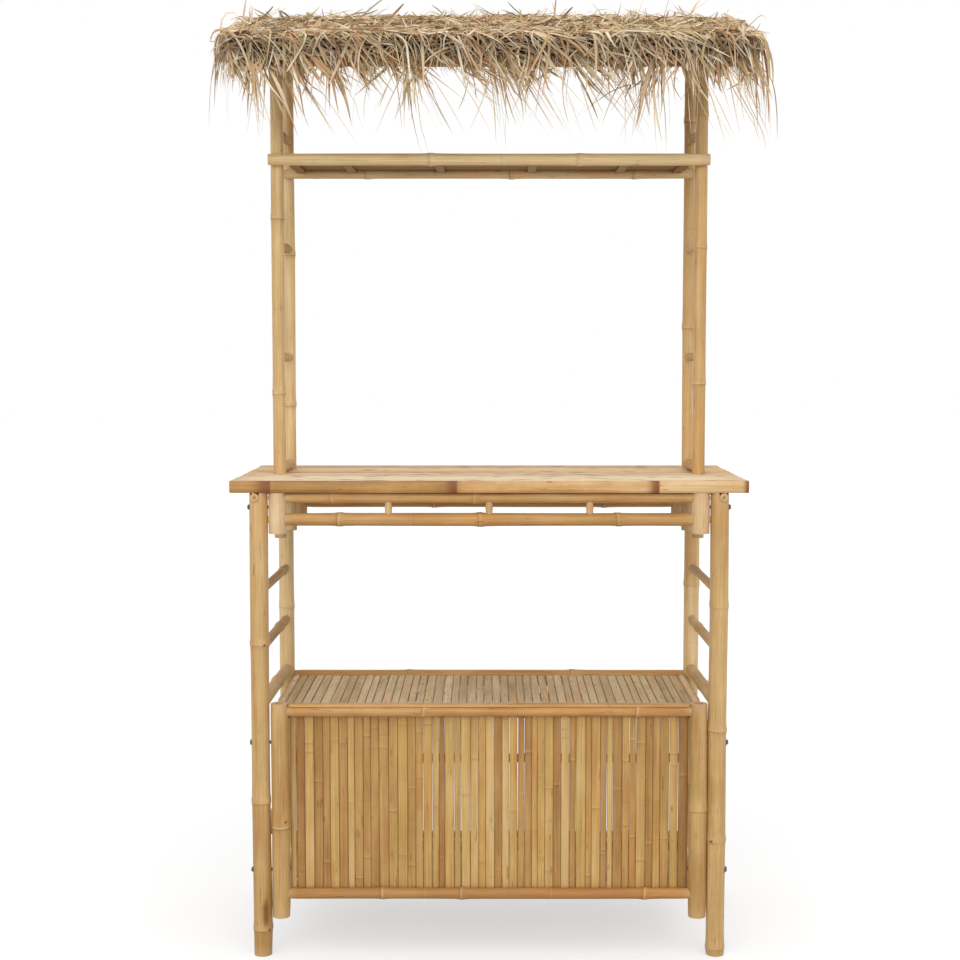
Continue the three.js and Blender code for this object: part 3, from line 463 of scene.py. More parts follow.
class Tree:
    """A material's nodes, with short calls for the kinds that repeat."""

    def __init__(self, name):
        self.material = bpy.data.materials.new(name)
        self.material.use_nodes = True
        self.nodes = self.material.node_tree.nodes
        self.shader = self.nodes["Principled BSDF"]

    def put(self, value, socket):
        if isinstance(value, bpy.types.NodeSocket):
            self.material.node_tree.links.new(value, socket)
        else:
            socket.default_value = value

    def attribute(self, name, output="Fac"):
        node = self.nodes.new("ShaderNodeAttribute")
        node.attribute_name = name
        return node.outputs[output]

    def math(self, operation, first, second=0.0, clamp=False):
        node = self.nodes.new("ShaderNodeMath")
        node.operation = operation
        node.use_clamp = clamp
        self.put(first, node.inputs[0])
        self.put(second, node.inputs[1])
        return node.outputs[0]

    def times(self, first, second, clamp=False):
        return self.math("MULTIPLY", first, second, clamp)

    def swayed(self, value, noise, reach):
        """A value, shifted up or down by a noise."""
        return self.math("ADD", value, self.times(self.math("SUBTRACT", noise, 0.5), reach))

    def texture(self, kind, vector, scale, **inputs):
        """A procedural texture with a scale of its own for each axis."""
        scaled = self.nodes.new("ShaderNodeVectorMath")
        scaled.operation = "MULTIPLY"
        self.put(vector, scaled.inputs[0])
        self.put(scale, scaled.inputs[1])
        node = self.nodes.new(kind)
        self.put(scaled.outputs[0], node.inputs["Vector"])
        for name, value in {"Scale": 1.0, **inputs}.items():
            self.put(value, node.inputs[name])
        return node.outputs

    def noise(self, vector, scale, detail=3.0, roughness=0.55):
        return self.texture("ShaderNodeTexNoise", vector, scale, Detail=detail, Roughness=roughness)["Fac"]

    def cells(self, vector, scale):
        return self.texture("ShaderNodeTexVoronoi", vector, scale)["Distance"]

    def ranged(self, value, low, high, to_low=0.0, to_high=1.0):
        node = self.nodes.new("ShaderNodeMapRange")
        node.interpolation_type = "SMOOTHSTEP"
        given = (value, low, high, to_low, to_high)
        for name, share in zip(("Value", "From Min", "From Max", "To Min", "To Max"), given):
            self.put(share, node.inputs[name])
        return node.outputs["Result"]

    def ramp(self, value, colours):
        node = self.nodes.new("ShaderNodeValToRGB")
        elements = node.color_ramp.elements
        while len(elements) < len(colours):
            elements.new(0.5)
        for index, colour in enumerate(colours):
            elements[index].position = index / (len(colours) - 1)
            elements[index].color = colour
        self.put(value, node.inputs["Fac"])
        return node.outputs["Color"]

    def mix(self, share, first, second, blend="MIX"):
        node = self.nodes.new("ShaderNodeMix")
        node.data_type = "RGBA"
        node.blend_type = blend
        self.put(share, node.inputs["Factor"])
        self.put(first, node.inputs[6])
        self.put(second, node.inputs[7])
        return node.outputs[2]

    def shaded(self, colour, value):
        """A colour made darker or lighter by a value."""
        node = self.nodes.new("ShaderNodeCombineColor")
        for index in range(3):
            self.put(value, node.inputs[index])
        return self.mix(1.0, colour, node.outputs[0], "MULTIPLY")

    def bump(self, height, strength, distance):
        node = self.nodes.new("ShaderNodeBump")
        for name, value in (("Strength", strength), ("Distance", distance), ("Height", height)):
            self.put(value, node.inputs[name])
        self.put(node.outputs["Normal"], self.shader.inputs["Normal"])

    def finish(self, colour, roughness, specular=0.4):
        self.put(colour, self.shader.inputs["Base Color"])
        self.put(roughness, self.shader.inputs["Roughness"])
        self.put(specular, self.shader.inputs["Specular IOR Level"])
        return self.material


NODE_BROWN = paint(118, 78, 42)
KNOT_BROWN = paint(74, 47, 28)
CUT_END = paint(212, 178, 130)
RIM_PAINTED_SHADE = paint(92, 62, 38)
WARM = paint(255, 232, 208)
OLIVE = paint(236, 240, 214)
MARK_BROWN = paint(138, 94, 54)
DASH_BROWN = paint(150, 106, 66)
SEAM_PAINTED_SHADE = paint(120, 82, 48)
PAINTED_SHELTER_SHADE = paint(78, 52, 32)


def bamboo(name, *colours, rough=(0.36, 0.52), streak=0.5, patch=0.45, fibre=0.16, spots=0.5,
           stain=NODE_BROWN, stained=0.9, rim_shade=0.0, specular=0.3):
    """Bamboo with fibres along its grain, a tone of its own for each pole or strip, and node lines."""
    tree = Tree(name)
    tones = [paint(*colour) for colour in colours]
    grain = tree.attribute("grain", "Vector")
    patches = tree.noise(grain, (13, 13, 7), 4, 0.6)
    fibres = tree.noise(grain, (330, 330, 6), 3, 0.7)
    value = tree.swayed(tree.attribute("tone"), tree.noise(grain, (42, 42, 2.4)), streak * 2)
    colour = tree.ramp(tree.swayed(value, patches, patch * 2), tones)
    colour = tree.shaded(colour, tree.ranged(fibres, 0.3, 0.7, 1 - fibre, 1 + fibre * 0.6))
    blush = tree.noise(grain, (9, 9, 3.1), 2, 0.5)
    colour = tree.mix(tree.ranged(blush, 0.52, 0.7, 0.0, 0.5), colour, WARM, "MULTIPLY")
    colour = tree.mix(tree.ranged(blush, 0.3, 0.46, 0.45, 0.0), colour, OLIVE, "MULTIPLY")

    # A node: a dark line, a faint halo round it and a light lip above it
    scar = tree.attribute("scar")
    wander = tree.swayed(tree.attribute("ring"), patches, 0.003)
    size = tree.math("ABSOLUTE", wander)
    line = tree.times(tree.ranged(size, 0.0005, 0.0019, 1.0, 0.0), scar)
    halo = tree.times(tree.ranged(size, 0.002, 0.010, 0.26, 0.0), scar)
    lip = tree.times(tree.ranged(wander, 0.0010, 0.0024), tree.ranged(wander, 0.004, 0.009, 0.9, 0.0))
    colour = tree.mix(tree.math("MAXIMUM", line, halo), colour, NODE_BROWN)
    colour = tree.mix(tree.times(lip, scar), colour, tones[-1])

    specks = tree.ranged(tree.noise(grain, (150, 150, 24), 2, 0.5), 0.62, 0.72)
    seats = tree.ranged(tree.noise(grain, (24, 24, 9), 2, 0.5), 0.46, 0.62)
    speck = tree.times(specks, seats, clamp=True)
    colour = tree.mix(tree.times(speck, spots), colour, NODE_BROWN)
    # Knots, burns and stains, and painted shade on the floors of bores
    knot = tree.attribute("knot")
    colour = tree.mix(tree.ranged(knot, 0.04, 0.6, 0.0, stained), colour, stain)
    colour = tree.mix(tree.ranged(knot, 0.62, 0.95, 0.0, 0.85), colour, KNOT_BROWN)
    pores = tree.noise(grain, (900, 900, 900), 1, 0.5)
    cut = tree.mix(tree.ranged(pores, 0.5, 0.62, 0.0, 0.4), CUT_END, NODE_BROWN)
    colour = tree.mix(tree.times(tree.attribute("end"), 0.8), colour, cut)
    # Painted shade along the sides of strips
    if rim_shade:
        shaded = tree.ranged(tree.attribute("rim"), 0.15, 1.0, 0.0, rim_shade)
        colour = tree.mix(shaded, colour, RIM_PAINTED_SHADE)
    height = tree.math("ADD", fibres, tree.times(patches, 0.8))
    tree.bump(tree.math("SUBTRACT", height, tree.times(speck, 0.5)), 0.35, 0.0006)
    return tree.finish(colour, tree.ranged(patches, 0.3, 0.7, *rough), specular)


POLE = bamboo("bamboo_pole", (180, 138, 82), (198, 160, 104), (211, 175, 120), (228, 198, 148),
              streak=0.48, patch=0.5)
PALE = bamboo("bamboo_pale", (196, 150, 100), (211, 170, 120), (224, 190, 146), (238, 212, 176),
              streak=0.4, patch=0.5)
GOLDEN = bamboo("bamboo_golden", (174, 126, 70), (194, 148, 90), (206, 164, 108), (220, 188, 138),
                streak=0.45, patch=0.5)
RUNG = bamboo("bamboo_rung", (172, 134, 88), (196, 160, 112), (212, 180, 134), (228, 202, 160),
              rough=(0.6, 0.75), streak=0.45, patch=0.55, specular=0.08)
STRIP = bamboo("bamboo_strip", (160, 118, 72), (184, 141, 88), (201, 163, 101), (216, 180, 124),
               rough=(0.6, 0.75), patch=0.46, rim_shade=0.5, specular=0.08)
GREY = bamboo("bamboo_grey", (180, 150, 112), (206, 178, 138), (224, 198, 158), (238, 214, 176),
              rough=(0.7, 0.85), streak=0.3, patch=0.4, spots=0.7, rim_shade=0.6, specular=0.05)
RACK_LOOK = bamboo("bamboo_rack", (196, 156, 104), (212, 174, 122), (226, 192, 142), (238, 210, 164),
                   rough=(0.6, 0.75), streak=0.3, patch=0.34, spots=0.4, rim_shade=0.6, specular=0.05)
# The roof's poles: the bamboo in darker, redder tones, as painted shade under the thatch
ROOF_PAINTED_SHADE = bamboo("bamboo_roof", (128, 80, 52), (156, 106, 72), (178, 128, 90), (194, 150, 110),
                   rough=(0.5, 0.7), patch=0.5, spots=0.6)
EDGE = bamboo("bamboo_edge", (160, 118, 64), (184, 138, 80), (206, 158, 100), (224, 188, 136),
              streak=0.6, patch=0.7, spots=0.8, stain=paint(134, 82, 42), stained=1.0)


def counter_material(*colours):
    """Pale strips with lens-shaped brown marks where their nodes were, and painted shade along the seams
    between them.
    """
    tree = Tree("bamboo_counter")
    grain = tree.attribute("grain", "Vector")
    patches = tree.noise(grain, (16, 16, 5), 4, 0.6)
    fibres = tree.noise(grain, (420, 420, 7), 3, 0.7)
    value = tree.swayed(tree.attribute("tone"), tree.noise(grain, (60, 60, 2.0)), 0.8)
    colour = tree.ramp(tree.swayed(value, patches, 0.6), [paint(*each) for each in colours])
    colour = tree.shaded(colour, tree.ranged(fibres, 0.3, 0.7, 0.88, 1.05))
    lens = tree.ranged(tree.cells(grain, (58, 0, 14)), 0.16, 0.4, 1, 0)
    chosen = tree.ranged(tree.noise(grain, (21, 0, 8.7), 1, 0.5), 0.47, 0.51)
    marks = tree.times(lens, chosen)
    colour = tree.mix(tree.times(marks, 0.85), colour, MARK_BROWN)
    dashes = tree.noise(grain, (160, 0, 9), 2, 0.5)
    colour = tree.mix(tree.ranged(dashes, 0.62, 0.72, 0.0, 0.4), colour, DASH_BROWN)
    end = tree.attribute("end")
    # Painted shade along the seams between the boards, kept off their cut ends
    painted_seam_shade = tree.times(tree.attribute("rim"), tree.math("SUBTRACT", 0.9, end, clamp=True))
    colour = tree.mix(painted_seam_shade, colour, SEAM_PAINTED_SHADE)
    colour = tree.mix(tree.times(end, 0.5), colour, CUT_END)
    tree.bump(tree.math("SUBTRACT", fibres, tree.times(marks, 0.6)), 0.3, 0.0005)
    return tree.finish(colour, tree.ranged(patches, 0.3, 0.7, 0.6, 0.75), specular=0.06)


COUNTER = counter_material((216, 178, 132), (238, 206, 164), (249, 225, 190), (254, 238, 212))


def thatch_material(name, shade, *colours):
    """Dry blades: a tone each, fine lengthwise streaks, and painted shade that makes them darker low in the
    mat's edge.
    """
    tree = Tree(name)
    grain = tree.attribute("grain", "Vector")
    streaks = tree.noise(grain, (520, 520, 14), 3, 0.65)
    patches = tree.noise(grain, (14, 14, 11), 3, 0.6)
    value = tree.swayed(tree.attribute("tone"), patches, 0.4)
    colour = tree.ramp(value, [paint(*each) for each in colours])
    colour = tree.shaded(colour, tree.ranged(streaks, 0.3, 0.7, 0.82, 1.08))
    # Painted shade on blades where the mat shelters them
    colour = tree.mix(tree.times(tree.attribute("rim"), shade), colour, PAINTED_SHELTER_SHADE)
    tree.bump(streaks, 0.5, 0.0006)
    return tree.finish(colour, tree.ranged(patches, 0.3, 0.7, 0.7, 0.9), specular=0.14)


THATCH = thatch_material(
    "thatch", 0.8, (116, 82, 52), (174, 138, 100), (232, 208, 170), (204, 180, 138),
    (254, 242, 216), (230, 204, 162), (216, 168, 124), (190, 176, 130),
)
# The core's dark browns are painted shade of the thatch's inside, seen between the blades
THATCH_CORE_PAINTED_SHADE = thatch_material("thatch_core", 0.0, (58, 42, 28), (86, 64, 42), (112, 86, 58))


def metal(name, *colours):
    tree = Tree(name)
    place = tree.nodes.new("ShaderNodeTexCoord").outputs["Object"]
    blotches = tree.noise(place, (90, 90, 90), 4, 0.6)
    tree.put(0.6, tree.shader.inputs["Metallic"])
    tree.bump(tree.noise(place, (900, 900, 900), 2, 0.6), 0.25, 0.0003)
    colour = tree.ramp(blotches, [paint(*each) for each in colours])
    return tree.finish(colour, tree.ranged(blotches, 0.3, 0.7, 0.38, 0.58))


BOLT = metal("bolt_steel", (66, 60, 56), (96, 88, 80), (132, 118, 102))
SCREW_STEEL = metal("screw_steel", (120, 92, 56), (156, 124, 78), (186, 156, 108))


def lone_pole(node, body, slot, material, start, end, diameter, **looks):
    """A piece that is one pole."""
    shell = Shell()
    pole(shell, start, end, diameter, **looks)
    shell.piece(node, body, material)


def upright(node, body, slot, material, diameter, **looks):
    """A pole that stands where a node of the frame stands."""
    low, high = corners(node)
    x, y = axis_of(node)
    lone_pole(node, body, slot, material, (x, y, low[2]), (x, y, high[2]), diameter, **looks)


def between(height, holders, *holder_diameters):
    """The ends and fish-mouths of a pole that runs level between two upright ones."""
    first, last = [axis_of(holder) for holder in holders]
    mouths = [mouth(UP, diameter / 2) for diameter in holder_diameters]
    terms = ("start", "end", "start_shape", "end_shape")
    return dict(zip(terms, ((*first, height), (*last, height), *mouths)))


# Legs and ladder rungs
FRONT_LEG = 0.043
REAR_LEG = 0.039
TOP_RUNG = 0.020
RUNG_DIAMETERS = {"4": 0.020, "3": 0.023, "2": 0.029, "1": 0.029}
FRONT_LEG_RINGS = {"left": (0.056, 0.334, 0.674), "right": (0.014, 0.25, 0.489, 0.756)}
REAR_LEG_RINGS = {"left": (0.1, 0.37, 0.691), "right": (0.15, 0.45, 0.743)}
LEG_KNOTS = {"left": ((0.058, 3.96), (0.676, 3.8)), "right": ((0.252, 2.5),)}
LEG_BURNS = {"left": ((0.098, 0.036, 3.6, 0.42),), "right": ()}
LEG_TONES = {
    "front_left": (-0.1, 0.1, 0.3, 0.5),
    "front_right": (0.3, 0.4, 0.45, 0.45, 0.5),
    "rear_left": 0.95,
    "rear_right": 0.9,
}
LEG_BORE = 0.022
LEG_LINE = 0.5
RUNG_RING = (0.5, 0.85)
TOP_RUNG_RING = 0.42


def top_rung(name):
    """The two ends of a side's top rung, the front one first. It runs askew, in towards the rear."""
    low, high = corners("rung_" + name + "_top")
    radius = TOP_RUNG / 2
    near, far = sorted((low[0] + radius, high[0] - radius), key=abs)
    height = middle("rung_" + name + "_top")[2]
    return (far, low[1], height), (near, high[1], height)


def make_legs():
    for name in SIDES:
        for end, rung_end in zip(ENDS, top_rung(name)):
            node = "leg_" + end + "_" + name
            top = corners(node)[1][2]
            rung = rung_end[0] - axis_of(node)[0]
            is_front = end == "front"
            upright(
                node, "bar", "bamboo_pole", POLE, FRONT_LEG if is_front else REAR_LEG,
                rings=(FRONT_LEG_RINGS if is_front else REAR_LEG_RINGS)[name],
                knots=LEG_KNOTS[name] if is_front else (), burns=LEG_BURNS[name] if is_front else (),
                tone=LEG_TONES[end + "_" + name], line=LEG_LINE, bores=(LEG_BORE, 0),
                end_shape=saddle(rung, rung_end[2], TOP_RUNG / 2, top, walls=True),
            )


def make_rungs():
    for name in SIDES:
        legs = ("leg_front_" + name, "leg_rear_" + name)
        for key, diameter in RUNG_DIAMETERS.items():
            node = "rung_" + name + "_" + key
            line = between(middle(node)[2], legs, FRONT_LEG, REAR_LEG)
            lone_pole(node, "bar", "bamboo_pole", RUNG, diameter=diameter,
                      rings=(random.uniform(*RUNG_RING),), **line)
        lone_pole("rung_" + name + "_top", "bar", "bamboo_pole", GOLDEN, *top_rung(name), TOP_RUNG,
                  rings=(TOP_RUNG_RING,), kink=0)


# Bolts and screws
BOLT_SIDES = 24
AXIS = 0.0002  # how near to its axis a turned form's caps begin
WASHER = 0.019
WASHER_THICKNESS = 0.0016
WASHER_CHAMFER = 0.0006
BOLT_HEAD = 0.013
BOLT_HEAD_HEIGHT = 0.005
BOLT_SHANK = 0.008
BOLT_CHAMFER = 0.0004
BOLT_SINK = 0.0005
SCREW = 0.0075
SCREW_HEIGHT = 0.0011
SCREW_DEPTH = 0.002
SCREW_EDGE = 0.0002
SCREW_CHAMFER = 0.0006
SLOT_TURN = 0.4
SLOT_HALF_WIDTH = 0.0005
SLOT_HEIGHT = 0.0003
METAL_SHARP = 32


def set_along(points, origin, direction, turn=0.0):
    """Points of a form about +Z, set at a place with its +Z in a direction."""
    direction = unit(np.array(direction, float))
    reference = UP if abs(direction[2]) < STEEP else TO_RIGHT
    side = unit(np.cross(reference, direction))
    turned = side * math.cos(turn) + np.cross(direction, side) * math.sin(turn)
    basis = np.stack([turned, np.cross(direction, turned), direction])
    return np.array(origin) + points @ basis


def turned_form(shell, profile, origin, direction, sides=BOLT_SIDES, six_sided=(), turn=0.0):
    """A lathe form from (radius, height) pairs. The listed rows are drawn in to a hexagon."""
    angles = np.arange(sides) * FULL_TURN / sides
    sixth = FULL_TURN / 6
    inside = (angles + sixth / 2) % sixth - sixth / 2
    rows = []
    for index, (radius, height) in enumerate(profile):
        reach = radius * math.cos(sixth / 2) / np.cos(inside) if index in six_sided else radius
        rows.append(columns(np.cos(angles) * reach, np.sin(angles) * reach, np.full(sides, height)))
    points = set_along(np.concatenate(rows), origin, direction, turn)
    shell.add(points, tube_faces(len(rows), sides), points)


def make_bolts():
    for name, sign in SIDES.items():
        for label in ("apron_" + name, "cabinet_" + name + "_lower", "cabinet_" + name + "_upper"):
            node = "bolt_" + label
            low, high = corners(node)
            inner = low[0] if sign > 0 else high[0]
            origin = (inner, *middle(node)[1:])
            direction = (sign, 0, 0)
            washer_top = high[0] - low[0] - BOLT_HEAD_HEIGHT
            seat = washer_top - WASHER_THICKNESS
            shank = BOLT_SHANK / 2
            rim = WASHER / 2
            head = BOLT_HEAD / 2
            shell = Shell()
            washer = [
                (AXIS, 0), (shank - BOLT_CHAMFER, 0), (shank, BOLT_CHAMFER), (shank, seat),
                (rim - WASHER_CHAMFER / 2, seat), (rim, seat + WASHER_CHAMFER / 2),
                (rim, washer_top - BOLT_CHAMFER), (rim - WASHER_CHAMFER, washer_top), (AXIS, washer_top),
            ]
            turned_form(shell, washer, origin, direction)
            base = washer_top - BOLT_SINK
            crown = [(head, 0.62), (head - 2 * BOLT_CHAMFER, 0.82), (head / 2, 0.97), (AXIS, 1)]
            profile = [(AXIS, base), (head, base)]
            profile += [(radius, washer_top + BOLT_HEAD_HEIGHT * share) for radius, share in crown]
            turned_form(shell, profile, origin, direction, six_sided=(1, 2, 3), turn=random.uniform(0, 1))
            shell.piece(node, "bar", BOLT, sharp=METAL_SHARP)


def make_screws():
    """Cross-head screws in the ends of the top rungs."""
    radius = SCREW / 2
    profile = [
        (AXIS, -SCREW_DEPTH), (radius, -SCREW_DEPTH), (radius, SCREW_EDGE),
        (radius - SCREW_CHAMFER, SCREW_HEIGHT * 0.8),
        (radius / 2, SCREW_HEIGHT), (AXIS, SCREW_HEIGHT),
    ]
    section = [(SLOT_HALF_WIDTH, 0), (-SLOT_HALF_WIDTH, 0), (-SLOT_HALF_WIDTH, SLOT_HEIGHT),
               (SLOT_HALF_WIDTH, SLOT_HEIGHT)]
    for name in SIDES:
        shell = Shell()
        for place, facing in zip(top_rung(name), (TO_FRONT, -TO_FRONT)):
            turned_form(shell, profile, place, facing)
            for turn in (SLOT_TURN, SLOT_TURN + math.pi / 2):
                half = np.array([math.cos(turn), 0, math.sin(turn)]) * SCREW * 0.3
                base = np.array(place) + facing * SCREW_HEIGHT * 0.9
                drawn(shell, base - half, base + half, section, facing)
        shell.piece("screws_" + name, "bar", SCREW_STEEL, (), sharp=METAL_SHARP)


# Apron: short posts under the counter's corners, their rails, and spindles between the front rails
APRON_POSTS = {"front": 0.042, "rear": 0.036}
APRON_POST_TONES = {"front": 0.68, "rear": 0.4}
APRON_BORE = 0.024
APRON_RAILS = {
    # name: end, diameter, peg, rings, tone
    "front_upper": ("front", 0.0242, 0.012, (0.126, 0.462), 0.4),
    "front_lower": ("front", 0.030, 0.017, (0.142, 0.474, 0.8), 0.25),
    "rear": ("rear", 0.034, 0.017, (0.35, 0.8), 0.3),
}
APRON_KINK = 0.0007
SPINDLE = 0.017
SPINDLE_TONE = 0.2
PEG_REACH = 0.0007


def make_apron():
    for name in SIDES:
        for end in ENDS:
            upright("apron_post_" + end + "_" + name, "bar", "bamboo_pale", PALE, APRON_POSTS[end],
                    bores=(APRON_BORE, 0), tone=APRON_POST_TONES[end], kink=0)
    for key, (end, diameter, peg, rings, tone) in APRON_RAILS.items():
        node = "apron_rail_" + key
        height = middle(node)[2]
        posts = ["apron_post_" + end + "_" + name for name in SIDES]
        post = APRON_POSTS[end]
        shell = Shell()
        pole(shell, diameter=diameter, rings=rings, tone=tone, kink=APRON_KINK,
             **between(height, posts, post, post))
        reach = post / 2 + (PEG_REACH if end == "front" else 0)
        for holder, sign in zip(posts, SIDES.values()):
            x, y = axis_of(holder)
            outer = (x + sign * reach, y, height)
            pole(shell, (x, y, height), outer, peg, kink=0, sides=THIN_POLE_SIDES)
        shell.piece(node, "bar", GOLDEN)
    for index in (1, 2, 3):
        node = "apron_spindle_" + str(index)
        x, y = axis_of(node)
        ends = [(x, y, middle("apron_rail_front_" + key)[2]) for key in ("lower", "upper")]
        mouths = [mouth(TO_RIGHT, APRON_RAILS["front_" + key][1] / 2) for key in ("lower", "upper")]
        lone_pole(node, "bar", "bamboo_pole", PALE, *ends, SPINDLE, tone=SPINDLE_TONE,
                  start_shape=mouths[0], end_shape=mouths[1], kink=0)


# Counter
COUNTER_STRIPS = 8
COUNTER_STRIP_GAP = 0.0003
COUNTER_CROWN = 0.0007
COUNTER_STEP = 0.0012  # how much lower one strip may lie than another
COUNTER_SPACING = 0.1
COUNTER_TONES = (0.15, 0.85)
POST_CLEARANCE = 0.001
CUT_OVERRUN = 0.02
CUTTER_SIDES = 40
BOARD_END = 0.0002  # how near to the counter's end a vertex counts as part of it
CANOPY_POSTS = {"front": 0.031, "rear": 0.027}
EDGE_CROWN = 0.005
EDGE_FULLNESS = 3.2
EDGE_STEPS = 10
EDGE_SPACING = 0.003
EDGE_STAINS = ((0.077, 0.034, 0.003, 0.6), (0.436, 0.022, 0.003, 0.65), (0.826, 0.024, 0.003, 0.6),
               (1.0, 0.012, 0.003, 0.6))
EDGE_TONE_PLACES = (0.0, 0.07, 0.09, 0.43, 0.45, 0.82, 0.84, 1.0)
EDGE_TONES = (0.42, 0.42, 0.16, 0.07, 0.62, 0.7, 0.72, 0.95)


def cut_holes(made):
    """Opens the four round holes for the canopy posts in the counter."""
    low, high = corners("countertop")
    bottom, top = -CUT_OVERRUN, high[2] - low[2] + CUT_OVERRUN
    cutter = Shell()
    for name in SIDES:
        for end in ENDS:
            x, y = axis_of("canopy_post_" + end + "_" + name)
            radius = CANOPY_POSTS[end] / 2 + POST_CLEARANCE
            profile = [(AXIS, bottom), (radius, bottom), (radius, top), (AXIS, top)]
            turned_form(cutter, profile, (x, y, low[2]), UP, sides=CUTTER_SIDES)
    tool = bpy.data.meshes.new("hole_cutter")
    tool.from_pydata(np.concatenate(cutter.points).tolist(), [], cutter.faces)
    cutting = add_object("hole_cutter", tool)
    modifier = made.modifiers.new("holes", "BOOLEAN")
    modifier.operation = "DIFFERENCE"
    modifier.solver = "EXACT"
    modifier.object = cutting
    bpy.context.view_layer.update()
    evaluated = made.evaluated_get(bpy.context.evaluated_depsgraph_get())
    result = bpy.data.meshes.new_from_object(evaluated)
    made.modifiers.clear()
    made.data = result
    bpy.data.objects.remove(cutting)


def restore_counter_values(mesh):
    """Gives every vertex of the cut counter its grain again, from where it lies."""
    low, high = corners("countertop")
    places = np.zeros(len(mesh.vertices) * 3, np.float32)
    mesh.vertices.foreach_get("co", places)
    x, y, z = places.reshape(-1, 3).T
    pitch = (high[1] - low[1]) / COUNTER_STRIPS
    strip = np.clip(np.floor((y - low[1]) / pitch), 0, COUNTER_STRIPS - 1).astype(int)
    tones = np.random.default_rng(5).uniform(*COUNTER_TONES, COUNTER_STRIPS)
    shifts = np.random.default_rng(6).uniform(-GRAIN_SHIFT, GRAIN_SHIFT, (COUNTER_STRIPS, 3))
    grain = columns(y, z, x) + shifts[strip]
    outer = np.abs(np.abs(x) - high[0]) < BOARD_END
    mesh.attributes["grain"].data.foreach_set("vector", grain.astype(np.float32).ravel())
    for key, values in (("tone", tones[strip]), ("end", outer)):
        mesh.attributes[key].data.foreach_set("value", values.astype(np.float32))


def make_counter():
    low, high = corners("countertop")
    pitch = (high[1] - low[1]) / COUNTER_STRIPS
    shell = Shell()
    for index in range(COUNTER_STRIPS):
        y = low[1] + (index + 0.5) * pitch
        thickness = high[2] - low[2] + random.uniform(-COUNTER_STEP, 0)
        section = split_section(pitch - COUNTER_STRIP_GAP, thickness, COUNTER_CROWN)
        drawn(shell, (low[0], y, low[2]), (high[0], y, low[2]), section, UP, spacing=COUNTER_SPACING)
    board = shell.piece("countertop", "bar", COUNTER)
    cut_holes(board)
    restore_counter_values(board.data)
    board.data.set_sharp_from_angle(angle=math.radians(SHARP_ANGLE))


def make_counter_edge():
    low, high = corners("counter_edge_front")
    half = (high[2] - low[2]) / 2
    section = [(half, 0), (-half, 0)]
    for share in np.linspace(-1, 1, EDGE_STEPS + 1):
        section.append((share * half, high[1] - low[1] - EDGE_CROWN * abs(share) ** EDGE_FULLNESS))
    height = (low[2] + high[2]) / 2
    shell = Shell()
    drawn(shell, (low[0], high[1], height), (high[0], high[1], height), section, TO_FRONT,
          stains=EDGE_STAINS, tone=(EDGE_TONE_PLACES, EDGE_TONES), spacing=EDGE_SPACING)
    shell.piece("counter_edge_front", "bar", EDGE)


# Cabinet
CABINET_POST = 0.042
CABINET_POST_BORE = 0.022
CABINET_POST_LOOKS = {
    "left": {
        "tone": 0.3, "rings": (0.42,), "knots": ((0.452, 3.75),), "burns": ((0.536, 0.032, 3.5, 0.09),),
    },
    "right": {"tone": 0.18, "rings": (0.5,)},
}
CABINET_RAIL = 0.026
CABINET_RAILS = {
    # name: holders, their diameter, rings, tone
    "front_top": ("cabinet_post_", CABINET_POST, (0.34, 0.85), 0.3),
    "front_bottom": ("cabinet_post_", CABINET_POST, (0.24, 0.43, 0.87), 0.0),
    "rear_top": ("leg_rear_", REAR_LEG, (0.3, 0.7), 0.4),
    "rear_bottom": ("leg_rear_", REAR_LEG, (0.5,), 0.4),
}
CABINET_RAIL_KINK = 0.0006
RAIL_LIFT = 0.0012  # the room that a rail's nodes take below it
CAP_WIDTH = 0.022
CAP_HEIGHT = 0.0075
CAP_GAP = 0.003
SLAT_THICKNESS = 0.005
SLAT_RINGS = (0.05, 0.95)
PANEL_STRIPS = 50
PANEL_MARGIN = 0.0008
PANEL_WIDTHS = 0.26
PANEL_OPEN = 0.38  # the share of strips with a gap beside them
PANEL_GAPS = (0.0006, 0.0014)
PANEL_CLOSED_GAP = 0.0001
PANEL_STEP = 0.0012
PANEL_END_STEP = 0.003
PANEL_TONES = (0.5, 0.24)
PANEL_LINE = 0.6
PANEL_WIDENING = 0.06
PANEL_BATTENS = (0.2446, 0.7326)
PANEL_BATTEN_WIDTH = 0.020
SHELF_SLATS = 48
FLOOR_SLATS = 34
SHELF_WIDTHS = 0.14
SHELF_CLOSED = 0.88
SHELF_GAPS = (0.0002, 0.0006)
SHELF_WIDE_GAPS = (0.0012, 0.0022)
SHELF_TONES = (0.25, 0.85)
SHELF_LINE = 0.7
SHELF_WIDENING = 0.004
SHELF_STEP = 0.0009
SHELF_LEAN = 0.0007
SHELF_REAR_GAP = 0.004
SHELF_TOP_GAP = 0.0014  # how far the slats lie below the top of the side poles
SLAT_BATTENS = (0.06, 0.5, 0.94)
SLAT_BATTEN_WIDTH = 0.025
SIDE_POLE = 0.022
SIDE_POLE_KINK = 0.0005
EDGE_CLEARANCE = 0.001


